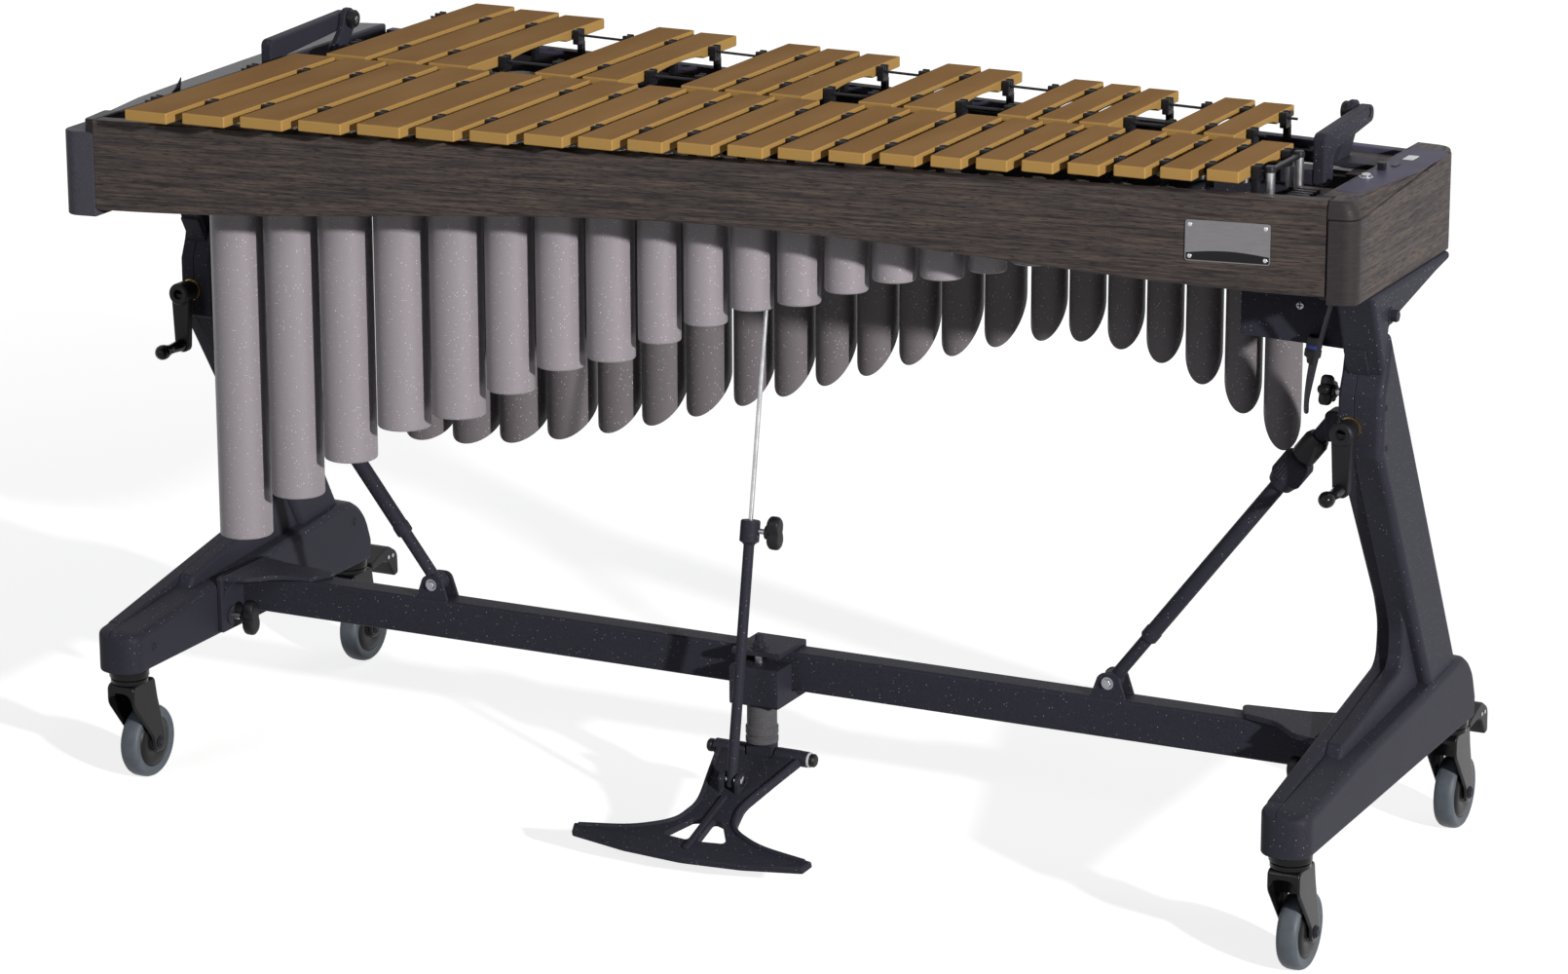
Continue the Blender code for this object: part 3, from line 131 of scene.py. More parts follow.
def makeStudio(s):
    world = bpy.data.worlds.new("paleStudio")
    scene.world = world
    world.use_nodes = True
    tree = world.node_tree
    tree.nodes.clear()
    out = add(tree, "ShaderNodeOutputWorld")
    mix = add(tree, "ShaderNodeMixShader")
    soft = add(tree, "ShaderNodeBackground", Strength=s["ambient"])
    white = add(tree, "ShaderNodeBackground", Strength=1.0)
    soft.inputs["Color"].default_value = (0.95, 0.97, 1.0, 1)
    white.inputs["Color"].default_value = (1, 1, 1, 1)
    wire(tree, paleRays(tree), mix.inputs[0])
    wire(tree, soft.outputs[0], mix.inputs[1])
    wire(tree, white.outputs[0], mix.inputs[2])
    wire(tree, mix.outputs[0], out.inputs[0])

    floorSkin = bpy.data.materials.new("paleFloor")
    floorSkin.use_nodes = True
    tree = floorSkin.node_tree
    tree.nodes.clear()
    out = add(tree, "ShaderNodeOutputMaterial")
    both = add(tree, "ShaderNodeAddShader")
    matt = add(tree, "ShaderNodeBsdfDiffuse", Color=(*s["floorColour"], 1))
    glow = add(tree, "ShaderNodeEmission", Color=(1, 1, 1, 1))
    # the glow grows away from the object, so the far floor stays white and the shadow keeps its depth
    place = add(tree, "ShaderNodeTexCoord").outputs["Object"]
    far = add(tree, "ShaderNodeVectorMath", operation="LENGTH")
    wire(tree, place, far.inputs[0])
    reach = add(tree, "ShaderNodeMapRange", interpolation_type="SMOOTHSTEP")
    for socket, value in zip(("From Min", "From Max", "To Min", "To Max"), (0.9, 3.5, *s["floorGlow"])):
        reach.inputs[socket].default_value = value
    wire(tree, far.outputs["Value"], reach.inputs["Value"])
    scale = add(tree, "ShaderNodeMath", operation="MULTIPLY")
    wire(tree, reach.outputs["Result"], scale.inputs[1])
    wire(tree, paleRays(tree), scale.inputs[0])
    wire(tree, scale.outputs[0], glow.inputs["Strength"])
    wire(tree, matt.outputs[0], both.inputs[0])
    wire(tree, glow.outputs[0], both.inputs[1])
    wire(tree, both.outputs[0], out.inputs[0])
    bm = bmesh.new()
    bmesh.ops.create_grid(bm, x_segments=8, y_segments=8, size=14)
    mesh = bpy.data.meshes.new("studioFloor")
    bm.to_mesh(mesh)
    bm.free()
    mesh.materials.append(floorSkin)
    floor = bpy.data.objects.new("studioFloor", mesh)
    scene.collection.objects.link(floor)

    for name in ("key", "fill", "back"):
        lamp = s[name]
        turn, lift = math.radians(lamp["turn"]), math.radians(lamp["lift"])
        toLamp = Vector((math.sin(turn) * math.cos(lift), -math.cos(turn) * math.cos(lift), math.sin(lift)))
        light = bpy.data.lights.new(name + "Lamp", "AREA")
        light.shape = "DISK"
        light.size = lamp["size"]
        light.energy = lamp["power"]
        light.color = lamp["colour"]
        holder = bpy.data.objects.new(name + "Lamp", light)
        holder.location = Vector((0, 0, 0.5)) + toLamp * lamp["far"]
        holder.rotation_euler = toLamp.to_track_quat("Z", "Y").to_euler()
        scene.collection.objects.link(holder)


makeStudio(studio)
scene.view_settings.view_transform = "Standard"
print("camera and studio ready")

# finishes: one function each, all procedural, in object space so a texture keeps its real size


def blankFinish(name, colour, roughness, metallic=0.0, **sockets):
    finish = bpy.data.materials.new(name)
    finish.use_nodes = True
    tree = finish.node_tree
    shader = tree.nodes["Principled BSDF"]
    shader.inputs["Base Color"].default_value = (*colour, 1)
    shader.inputs["Roughness"].default_value = roughness
    shader.inputs["Metallic"].default_value = metallic
    for socket, value in sockets.items():
        shader.inputs[socket.replace("_", " ")].default_value = value
    finish.diffuse_color = (*colour, 1)
    place = add(tree, "ShaderNodeTexCoord").outputs["Object"]
    return finish, tree, shader, place


def stretched(tree, place, scale):
    shape = add(tree, "ShaderNodeMapping")
    shape.inputs["Scale"].default_value = scale
    wire(tree, place, shape.inputs["Vector"])
    return shape.outputs["Vector"]


def noise(tree, place, scale, detail=3.0, rough=0.55):
    grain = add(tree, "ShaderNodeTexNoise", Scale=scale, Detail=detail, Roughness=rough)
    wire(tree, place, grain.inputs["Vector"])
    return grain.outputs["Fac"]


def ramp(tree, factor, stops):
    table = add(tree, "ShaderNodeValToRGB")
    elements = table.color_ramp.elements
    while len(elements) < len(stops):
        elements.new(0.5)
    for element, (at, colour) in zip(elements, stops):
        element.position = at
        element.color = (*colour, 1)
    wire(tree, factor, table.inputs["Fac"])
    return table.outputs["Color"]


def spread(tree, factor, low, high, start=0.3, end=0.7):
    reach = add(tree, "ShaderNodeMapRange")
    reach.inputs["From Min"].default_value = start
    reach.inputs["From Max"].default_value = end
    reach.inputs["To Min"].default_value = low
    reach.inputs["To Max"].default_value = high
    wire(tree, factor, reach.inputs["Value"])
    return reach.outputs["Result"]


def bump(tree, shader, height, strength, depth):
    relief = add(tree, "ShaderNodeBump", Strength=strength, Distance=depth)
    wire(tree, height, relief.inputs["Height"])
    wire(tree, relief.outputs["Normal"], shader.inputs["Normal"])


def mixColour(tree, factor, first, second, blend="MIX"):
    # first and second are a colour or a socket
    mix = add(tree, "ShaderNodeMix", data_type="RGBA", blend_type=blend)
    wire(tree, factor, mix.inputs[0])
    for socket, value in ((mix.inputs[6], first), (mix.inputs[7], second)):
        if isinstance(value, tuple):
            socket.default_value = (*value, 1)
        else:
            wire(tree, value, socket)
    return mix.outputs[2]


def flecks(tree, place, scale, size, share):
    # small round flecks: some cells of a cell texture, near their centres
    cells = add(tree, "ShaderNodeTexVoronoi", Scale=scale)
    wire(tree, place, cells.inputs["Vector"])
    near = spread(tree, cells.outputs["Distance"], 1.0, 0.0, size * 0.6, size)
    pick = add(tree, "ShaderNodeSeparateColor")
    wire(tree, cells.outputs["Color"], pick.inputs[0])
    chosen = spread(tree, pick.outputs[0], 0.0, 1.0, 1 - share, 1 - share * 0.5)
    both = add(tree, "ShaderNodeMath", operation="MULTIPLY")
    wire(tree, near, both.inputs[0])
    wire(tree, chosen, both.inputs[1])
    return both.outputs[0]


def upward(tree, start, end):
    # 0 on upright faces, 1 on faces that look up
    normal = add(tree, "ShaderNodeNewGeometry").outputs["Normal"]
    axes = add(tree, "ShaderNodeSeparateXYZ")
    wire(tree, normal, axes.inputs[0])
    return spread(tree, axes.outputs["Z"], 0.0, 1.0, start, end)


def tinted(colour, share):
    return tuple(c * share for c in colour)


def dress(tree, shader, tone, roughness, grain, strength, depth):
    wire(tree, tone, shader.inputs["Base Color"])
    wire(tree, roughness, shader.inputs["Roughness"])
    bump(tree, shader, grain, strength, depth)


def goldFinish():
    # satin gold with grained tops; edges and ends are more metallic, and their gold is painted slightly
    # brighter than the tops: painted light on the upright faces, painted shade on the faces that look up
    s = dict(
        # side: the painted lit gold of upright faces; top: the painted shaded gold of faces that look up
        side=(0.385, 0.232, 0.073),
        top=(0.36, 0.202, 0.082),
        dark=(0.285, 0.154, 0.058),
        grain=(0.46, 0.28, 0.126),
    )
    finish, tree, shader, place = blankFinish("satinGold", s["side"], 0.42, Specular_IOR_Level=0.0)
    broad = noise(tree, stretched(tree, place, (9, 3, 9)), 1.6, 2.0)
    fine = noise(tree, place, 1500, 2.0, 0.7)
    top = ramp(tree, broad, ((0.32, s["dark"]), (0.7, s["top"])))
    top = mixColour(tree, spread(tree, fine, 0.0, 0.45, 0.46, 0.66), top, s["grain"])
    # painted light and shade: upright faces take the brighter side gold, faces that look up the darker top
    # gold
    tone = mixColour(tree, upward(tree, 0.72, 0.97), s["side"], top)
    wire(tree, spread(tree, upward(tree, 0.5, 0.95), 0.16, 0.04, 0.0, 1.0), shader.inputs["Metallic"])
    dress(tree, shader, tone, spread(tree, fine, 0.36, 0.48), fine, 0.1, 0.0003)
    return finish


def tubeFinish(name, colour, dark, shine, fleck=(0.85, 0.82, 0.88)):
    finish, tree, shader, place = blankFinish(name, colour, 0.46, 0.03, Specular_IOR_Level=shine)
    fine = noise(tree, place, 1100, 2.0, 0.65)
    tone = ramp(tree, fine, ((0.36, dark), (0.64, colour)))
    # bright flecks: the metal flakes of the paint, painted as fixed bright dots that stand in for their
    # glints
    tone = mixColour(tree, flecks(tree, place, 520, 0.27, 0.13), tone, fleck)
    dress(tree, shader, tone, spread(tree, fine, 0.39, 0.48), fine, 0.06, 0.0003)
    return finish


def oakFinish(name, along, plain=None):
    # along: 0 for grain running in x, 1 for grain running in y; plain: y where the smooth moulded corner ends
    s = dict(
        deep=(0.022, 0.0195, 0.02),
        middle=(0.054, 0.045, 0.043),
        warm=(0.104, 0.078, 0.063),
        pore=(0.014, 0.012, 0.0125),
        corner=(0.027, 0.024, 0.026),
    )
    finish, tree, shader, place = blankFinish(name, s["middle"], 0.46, Specular_IOR_Level=0.1)
    long, short = (9, 60) if along == 0 else (60, 9)
    bend = noise(tree, stretched(tree, place, (3, 3, 9)), 1.0, 2.0)
    lift = add(tree, "ShaderNodeMix", data_type="VECTOR")
    lift.inputs[0].default_value = 0.005
    wire(tree, place, lift.inputs[4])
    wire(tree, bend, lift.inputs[5])
    bent = lift.outputs[1]
    streak = noise(tree, stretched(tree, bent, (long, short, 380)), 1.0, 5.0, 0.68)
    pores = noise(tree, stretched(tree, bent, (long * 4, short * 7, 900)), 1.0, 3.0, 0.6)
    tone = ramp(tree, streak, ((0.33, s["deep"]), (0.5, s["middle"]), (0.68, s["warm"])))
    tone = mixColour(tree, spread(tree, pores, 0.85, 0.0, 0.32, 0.5), tone, s["pore"])
    if plain is not None:
        axes = add(tree, "ShaderNodeSeparateXYZ")
        wire(tree, place, axes.inputs[0])
        smooth = spread(tree, axes.outputs["Y"], 0.85, 0.0, plain, plain + 0.035)
        tone = mixColour(tree, smooth, tone, s["corner"])
    dress(tree, shader, tone, spread(tree, pores, 0.58, 0.4), pores, 0.16, 0.0004)
    return finish


def coatFinish(name="speckledCoat", colour=(0.0215, 0.0215, 0.03), fleckShare=0.36, roughness=0.5):
    # powder coat with sparse light flecks
    s = dict(pale=tinted(colour, 1.5), fleck=(0.42, 0.43, 0.48))
    finish, tree, shader, place = blankFinish(name, colour, roughness, Specular_IOR_Level=0.06)
    fine = noise(tree, place, 620, 3.0, 0.6)
    broad = noise(tree, place, 9, 2.0)
    tone = ramp(tree, fine, ((0.38, colour), (0.68, s["pale"])))
    tone = mixColour(tree, spread(tree, broad, 0.0, 0.35), tone, s["pale"])
    tone = mixColour(tree, flecks(tree, place, 300, 0.15, fleckShare), tone, s["fleck"])
    dress(tree, shader, tone, spread(tree, fine, roughness - 0.07, roughness + 0.1), fine, 0.18, 0.0005)
    return finish


def plasticFinish(name, colour, roughness=0.42, grain=1500, depth=0.1, shine=0.16):
    finish, tree, shader, place = blankFinish(name, colour, roughness, Specular_IOR_Level=shine)
    fine = noise(tree, place, grain, 2.0)
    broad = noise(tree, place, 16, 2.0)
    tone = ramp(tree, broad, ((0.35, tinted(colour, 0.88)), (0.68, tinted(colour, 1.14))))
    dress(tree, shader, tone, spread(tree, fine, roughness - 0.05, roughness + 0.08), fine, depth, 0.0003)
    return finish


def metalFinish(name, colour, roughness, brushed=(60, 60, 60)):
    finish, tree, shader, place = blankFinish(name, colour, roughness, 1.0)
    lines = noise(tree, stretched(tree, place, brushed), 1.0, 4.0, 0.6)
    tone = ramp(tree, lines, ((0.3, tinted(colour, 0.86)), (0.7, colour)))
    matt = spread(tree, lines, max(0.04, roughness - 0.06), roughness + 0.08)
    dress(tree, shader, tone, matt, lines, 0.05, 0.0002)
    return finish


def feltFinish():
    s = dict(colour=(0.04, 0.04, 0.043), pale=(0.085, 0.085, 0.09))
    finish, tree, shader, place = blankFinish("damperFelt", s["colour"], 0.92, Sheen_Weight=0.35)
    fibres = noise(tree, stretched(tree, place, (420, 900, 900)), 1.0, 4.0, 0.7)
    wire(tree, ramp(tree, fibres, ((0.35, s["colour"]), (0.7, s["pale"]))), shader.inputs["Base Color"])
    bump(tree, shader, fibres, 0.55, 0.0012)
    return finish


def rubberFinish(name, colour, roughness):
    finish, tree, shader, place = blankFinish(name, colour, roughness, Specular_IOR_Level=0.3)
    scuff = noise(tree, place, 60, 4.0, 0.6)
    tone = ramp(tree, scuff, ((0.34, tinted(colour, 0.84)), (0.66, tinted(colour, 1.16))))
    dress(tree, shader, tone, spread(tree, scuff, roughness - 0.06, roughness + 0.1), scuff, 0.08, 0.0006)
    return finish


gold = goldFinish()
champagne = tubeFinish("champagneTube", (0.278, 0.256, 0.276), (0.239, 0.219, 0.237), 0.25)
# painted shade: a darker, less shiny copy of the tube paint for the back row, which stands mostly in shadow
champagneShadedBack = tubeFinish("champagneShadedBack", (0.165, 0.152, 0.162), (0.135, 0.124, 0.133), 0.1)
oakLong = oakFinish("darkOakLong", 0)
oakHigh = oakFinish("darkOakHighEnd", 1, -0.118)
coat = coatFinish()
columnCoat = coatFinish("columnCoat", (0.07, 0.069, 0.076), 0.05, 0.44)
smoothCoat = coatFinish("smoothCorner", (0.043, 0.042, 0.053), 0.02, 0.42)
blackPlastic = plasticFinish("blackPlastic", (0.009, 0.009, 0.011))
railBlack = plasticFinish("railBlack", (0.006, 0.006, 0.007), 0.5)
panelPlastic = plasticFinish("panelPlastic", (0.07, 0.066, 0.106), 0.4, shine=0.03)
rimGrey = plasticFinish("rimGrey", (0.022, 0.022, 0.03), 0.34)
glossBlack = plasticFinish("glossBlack", (0.005, 0.005, 0.006), 0.18, 300, 0.03)
tyre = rubberFinish("tyreGrey", (0.072, 0.086, 0.102), 0.48)
hubBlack = plasticFinish("hubBlack", (0.007, 0.007, 0.008), 0.34)
cableSkin = rubberFinish("cableSheath", (0.008, 0.008, 0.013), 0.45)
cordSkin = rubberFinish("barCord", (0.01, 0.01, 0.012), 0.6)
steel = metalFinish("brightSteel", (0.5, 0.5, 0.52), 0.24)
zinc = metalFinish("greyZinc", (0.3, 0.3, 0.33), 0.36, (240, 240, 900))
aluminium = metalFinish("brushedAluminium", (0.42, 0.42, 0.44), 0.36, (90, 900, 90))
plateSilver = metalFinish("plateSilver", (0.185, 0.18, 0.19), 0.46, (25, 400, 900))
brass = metalFinish("brassWasher", (0.6, 0.4, 0.13), 0.3)
felt = feltFinish()
whiteNylon = plasticFinish("whiteNylon", (0.62, 0.63, 0.66), 0.4)
blueRing = plasticFinish("blueRing", (0.02, 0.035, 0.19), 0.38)
displayWhite = plasticFinish("displayWhite", (0.7, 0.71, 0.72), 0.3)
print("finishes ready:", len(bpy.data.materials))

# shaping tools, all on bmesh

planes = dict(
    xy=Matrix.Identity(4),
    yz=Matrix(((0, 0, 1, 0), (1, 0, 0, 0), (0, 1, 0, 0), (0, 0, 0, 1))),
    xz=Matrix(((1, 0, 0, 0), (0, 0, 1, 0), (0, 1, 0, 0), (0, 0, 0, 1))),
)


def turns(count):
    return [2 * math.pi * k / count for k in range(count)]


def facing(at, way):
    # carries the origin to at and turns z to way
    return Matrix.Translation(at) @ Vector(way).to_track_quat("Z", "Y").to_matrix().to_4x4()


def rect(x0, y0, x1, y1, low, high=None):
    # corners for filleted or slab, with one rounding, or one below and one above
    high = low if high is None else high
    return [(x0, y0, low), (x1, y0, low), (x1, y1, high), (x0, y1, high)]


def closedMesh(bm):
    bmesh.ops.recalc_face_normals(bm, faces=bm.faces)
    return bm


def placed(bm, matrix):
    bm.transform(matrix)
    return closedMesh(bm)


def soften(bm, width, segments=3, limit=32):
    bm.normal_update()
    edges = [e for e in bm.edges if e.is_manifold and e.calc_face_angle(0) > math.radians(limit)]
    shape = dict(offset=width, segments=segments, profile=0.5, affect="EDGES", clamp_overlap=True)
    bmesh.ops.bevel(bm, geom=edges, **shape)
    return bm


def prism(outline, plane, low, high, rounding=0.0, segments=3):
    bm = bmesh.new()
    bottom = [bm.verts.new((a, b, low)) for a, b in outline]
    top = [bm.verts.new((a, b, high)) for a, b in outline]
    bm.faces.new(bottom[::-1])
    bm.faces.new(top)
    count = len(outline)
    for i in range(count):
        j = (i + 1) % count
        bm.faces.new((bottom[i], bottom[j], top[j], top[i]))
    placed(bm, planes[plane])
    return soften(bm, rounding, segments) if rounding else bm


def brick(low, high, rounding=0.0, segments=3):
    outline = [(low[0], low[1]), (high[0], low[1]), (high[0], high[1]), (low[0], high[1])]
    return prism(outline, "xy", low[2], high[2], rounding, segments)


def block(x, y, halfX, halfY, low, high, rounding, segments=2):
    return brick((x - halfX, y - halfY, low), (x + halfX, y + halfY, high), rounding, segments)


def spin(profile, start, end, steps=32):
    # (radius, height) pairs turned about the line from start to end
    bm = bmesh.new()
    rings = []
    for radius, height in profile:
        around = turns(steps) if radius > 1e-7 else [0.0]
        rings.append([bm.verts.new((radius * math.cos(t), radius * math.sin(t), height)) for t in around])
    if profile[0] == profile[-1]:
        for vert in rings[-1]:
            bm.verts.remove(vert)
        rings[-1] = rings[0]
    for a, b in zip(rings, rings[1:]):
        for k in range(steps):
            j = (k + 1) % steps
            corners = [a[k % len(a)], a[j % len(a)], b[j % len(b)], b[k % len(b)]]
            unique = list(dict.fromkeys(corners))
            if len(unique) > 2:
                bm.faces.new(unique)
    return placed(bm, facing(start, Vector(end) - Vector(start)))


def disc(radius, low, high, start, end, steps):
    return spin(((0, low), (radius, low), (radius, high), (0, high)), start, end, steps)


def hoop(inner, outer, low, high, start, end, steps):
    ring = ((inner, low), (outer, low), (outer, high), (inner, high), (inner, low))
    return spin(ring, start, end, steps)


def roundRod(start, end, radius, steps=24, edge=0.0008):
    long = (Vector(end) - Vector(start)).length
    edge = min(edge, radius * 0.5, long * 0.3)
    rim = ((0, 0), (radius - edge, 0), (radius - edge * 0.3, edge * 0.3), (radius, edge))
    rim += ((radius, long - edge), (radius - edge * 0.3, long - edge * 0.3), (radius - edge, long), (0, long))
    return spin(rim, start, end, steps)


def loft(rings, ringed=False):
    # skin over rings of points; ringed joins the last ring to the first, otherwise both ends are filled
    bm = bmesh.new()
    rows = [[bm.verts.new(p) for p in ring] for ring in rings]
    count = len(rows[0])
    for a, b in zip(rows, rows[1:] + rows[:1] if ringed else rows[1:]):
        for k in range(count):
            j = (k + 1) % count
            bm.faces.new((a[k], a[j], b[j], b[k]))
    if not ringed:
        bm.faces.new(rows[0][::-1])
        bm.faces.new(rows[-1])
    bmesh.ops.remove_doubles(bm, verts=bm.verts, dist=0.000002)
    return closedMesh(bm)


def sweep(points, radius, steps):
    # round tube along a line of points, with flat ends
    points = [Vector(p) for p in points]
    rings = []
    side = None
    for i, point in enumerate(points):
        way = (points[min(i + 1, len(points) - 1)] - points[max(i - 1, 0)]).normalized()
        if side is None:
            side = way.orthogonal().normalized()
        side = (side - way * side.dot(way)).normalized()
        across = way.cross(side)
        rings.append([point + (side * math.cos(t) + across * math.sin(t)) * radius for t in turns(steps)])
    return loft(rings)


def filleted(corners, steps=5, steady=False):
    # corners are (a, b, radius); each is replaced by an arc of that radius; steady keeps the count for lofts
    out = []
    count = len(corners)
    for i, (a, b, radius) in enumerate(corners):
        here = Vector((a, b))
        back = Vector(corners[i - 1][:2]) - here
        onward = Vector(corners[(i + 1) % count][:2]) - here
        angle = back.angle(onward)
        if radius <= 0 or angle > math.radians(178):
            out += [(a, b)] * (steps + 1 if steady else 1)
            continue
        cutBack = min(radius / math.tan(angle / 2), back.length * 0.49, onward.length * 0.49)
        radius = cutBack * math.tan(angle / 2)
        first = here + back.normalized() * cutBack
        last = here + onward.normalized() * cutBack
        halfway = (back.normalized() + onward.normalized()).normalized()
        middle = here + halfway * (radius / math.sin(angle / 2))
        startTurn = math.atan2(first.y - middle.y, first.x - middle.x)
        sweepTurn = math.atan2(last.y - middle.y, last.x - middle.x) - startTurn
        sweepTurn = (sweepTurn + math.pi) % (2 * math.pi) - math.pi
        for k in range(steps + 1):
            turn = startTurn + sweepTurn * k / steps
            out.append((middle.x + radius * math.cos(turn), middle.y + radius * math.sin(turn)))
    return out


def inset(corners, depth):
    # corners counterclockwise; outer fillets shrink and inner ones grow with the inset
    count = len(corners)
    out = []
    for i, (a, b, radius) in enumerate(corners):
        here = Vector((a, b))
        came = (here - Vector(corners[i - 1][:2])).normalized()
        goes = (Vector(corners[(i + 1) % count][:2]) - here).normalized()
        n0, n1 = Vector((-came.y, came.x)), Vector((-goes.y, goes.x))
        share = depth / (1 + n0.dot(n1))
        spot = here + (n0 + n1) * share
        outer = came.x * goes.y - came.y * goes.x > 0
        radius = radius - depth if outer else radius + depth
        out.append((spot.x, spot.y, max(radius, 0.00005)))
    return out


def slab(corners, plane, low, high, roundLow, roundHigh, steps=6, arcs=5):
    # a plate whose two faces have quarter-round edges
    quarter = [math.pi / 2 * k / arcs for k in range(arcs + 1)]
    levels = [(roundLow * (1 - math.sin(t)), low + roundLow * (1 - math.cos(t))) for t in quarter]
    levels += [(roundHigh * (1 - math.cos(t)), high - roundHigh * (1 - math.sin(t))) for t in quarter]
    rings = [[(a, b, z) for a, b in filleted(inset(corners, depth), steps, True)] for depth, z in levels]
    return placed(loft(rings), planes[plane])


def smoothLine(points, steps):
    # a smooth curve through the points
    points = [Vector(p) for p in points]
    ends = [points[0] * 2 - points[1], *points, points[-1] * 2 - points[-2]]
    out = []
    for a, b, c, d in zip(ends, ends[1:], ends[2:], ends[3:]):
        for k in range(steps):
            t = k / steps
            square, cube = 2 * a - 5 * b + 4 * c - d, 3 * b - a - 3 * c + d
            out.append(0.5 * (2 * b + (c - a) * t + square * t**2 + cube * t**3))
    return out + [points[-1]]


def carved(body, tool):
    pieces = []
    for bm in (body, tool):
        mesh = bpy.data.meshes.new("scratch")
        bm.to_mesh(mesh)
        bm.free()
        obj = bpy.data.objects.new("scratch", mesh)
        scene.collection.objects.link(obj)
        pieces.append(obj)
    cut = pieces[0].modifiers.new("cut", "BOOLEAN")
    cut.operation = "DIFFERENCE"
    cut.object = pieces[1]
    bpy.context.view_layer.update()
    graph = bpy.context.evaluated_depsgraph_get()
    mesh = bpy.data.meshes.new_from_object(pieces[0].evaluated_get(graph))
    bm = bmesh.new()
    bm.from_mesh(mesh)
    bpy.data.meshes.remove(mesh)
    for obj in pieces:
        data = obj.data
        bpy.data.objects.remove(obj)
        bpy.data.meshes.remove(data)
    bmesh.ops.remove_doubles(bm, verts=bm.verts, dist=0.00001)
    bmesh.ops.dissolve_limit(bm, angle_limit=math.radians(0.5), verts=bm.verts, edges=bm.edges)
    return closedMesh(bm)


def made(finish, *meshes):
    return [(bm, finish) for bm in meshes]


def moved(parts, x):
    for bm, _ in parts:
        bm.transform(Matrix.Translation((x, 0, 0)))
    return parts


def mirrored(parts, side):
    if side < 0:
        for bm, _ in parts:
            placed(bm, Matrix.Diagonal((-1, 1, 1, 1)))
    return parts


def assemble(name, parts, crease=38):
    # parts are (bmesh, finish) pairs; they become one mesh with a slot for each finish
    finishes = []
    whole = bmesh.new()
    for bm, finish in parts:
        if finish not in finishes:
            finishes.append(finish)
        bm.normal_update()
        for face in bm.faces:
            face.material_index = finishes.index(finish)
            face.smooth = True
        for edge in bm.edges:
            edge.smooth = edge.is_manifold and edge.calc_face_angle(0) < math.radians(crease)
        scratch = bpy.data.meshes.new("scratch")
        bm.to_mesh(scratch)
        bm.free()
        whole.from_mesh(scratch)
        bpy.data.meshes.remove(scratch)
    mesh = bpy.data.meshes.new(name)
    whole.to_mesh(mesh)
    whole.free()
    for finish in finishes:
        mesh.materials.append(finish)
    piece = bpy.data.objects.new(name, mesh)
    scene.collection.objects.link(piece)
    even = piece.modifiers.new("evenShading", "WEIGHTED_NORMAL")
    even.keep_sharp = True
    return piece


def settle(piece, *nodes, body=None, slot=None):
    # the piece stands for these nodes and moves with their body
    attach(piece, body or nodeBody[nodes[0]])
    if nodes:
        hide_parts(*nodes)
    return piece


def fit(name, parts, *nodes, crease=38, **where):
    return settle(assemble(name, parts, crease), *nodes, **where)


sides = ((-1, "low"), (1, "high"))

# keyboard layout, the same rules that the CAD rows follow

keys = dict(
    widths=((0.058, 5), (0.0515, 3), (0.0455, 7), (0.039, 7)),
    space=0.0078,
    thick=0.0125,
    top=0.8225,
    noneAfter=(3, 6),
    lowReach=0.355,
    highFront=0.133,
    highRear=0.211,
    frontBow=0.029,
    rearBow=0.0215,
    split=(0.01, 0.024),
    rowSpace=0.012,
    still=0.224,
    cordRadius=0.0015,
)
keyEnd = (sum(w * n for w, n in keys["widths"]) + keys["space"] * (sum(n for _, n in keys["widths"]) - 1)) / 2
cordZ = keys["top"] - keys["thick"] / 2
gap = 0.0003


def naturalPlaces():
    left = -keyEnd
    places = []
    for width, count in keys["widths"]:
        for _ in range(count):
            places.append((left, width))
            left += width + keys["space"]
    return places


naturals = naturalPlaces()
between = [(naturals[i][0] + naturals[i][1] + keys["space"] / 2, i) for i in range(len(naturals) - 1)]
betweenWidths = [min(naturals[i][1], naturals[i + 1][1]) for _, i in between]
accidentals = [
    (x - betweenWidths[i] / 2, betweenWidths[i])
    for x, i in between
    if i % 7 not in keys["noneAfter"]
]
firstX = naturals[0][0] + naturals[0][1] / 2
lastX = naturals[-1][0] + naturals[-1][1] / 2
firstAccX = between[0][0]
lastAccX = accidentals[-1][0] + accidentals[-1][1] / 2
lowWall = -keyEnd - 0.0581
highWall = keyEnd + 0.0781


def bowed(x, x0, y0, x1, y1, bow):
    return y0 + (y1 - y0) * (x - x0) / (x1 - x0) + bow * (x - x0) * (x - x1)


def splitY(x):
    return keys["split"][0] + keys["split"][1] * x


def naturalSpan(x):
    return bowed(x, firstX, -keys["lowReach"], lastX, -keys["highFront"], keys["frontBow"]), splitY(x)


def accidentalSpan(x):
    rear = bowed(x, firstAccX, keys["lowReach"], lastAccX, keys["highRear"], keys["rearBow"])
    return splitY(x) + keys["rowSpace"], rear


def stillY(span, x, back):
    near, far = span(x)
    return near + (far - near) * (1 - keys["still"] if back else keys["still"])


rowSet = (
    ("natural", naturals, naturalSpan),
    ("accidental", accidentals, accidentalSpan),
)

# bars: rounded edges, tuned arch underneath, a black lining ring on each still line where the cord passes

barShape = dict(
    trim=0.085,
    rounding=0.0016,
    archRise=0.0062,
    archSteps=16,
    archShare=0.06,
    eyelet=0.003,
    bore=0.62,
    lip=0.0003,
    cordPast=0.018,
)


def soundBar(left, width, span):
    near, far = span(left + width / 2)
    low = keys["top"] - keys["thick"]
    share = keys["still"] + barShape["archShare"]
    first, last = near + (far - near) * share, far - (far - near) * share
    outline = [(near, low), (near, keys["top"]), (far, keys["top"]), (far, low)]
    for k in range(barShape["archSteps"] + 1):
        t = k / barShape["archSteps"]
        outline.append((last + (first - last) * t, low + barShape["archRise"] * math.sin(math.pi * t) ** 0.5))
    return prism(outline, "yz", left, left + width, barShape["rounding"], 3)


def trimmed(left, width):
    cut = width * barShape["trim"] / 2
    return left + cut, width - 2 * cut


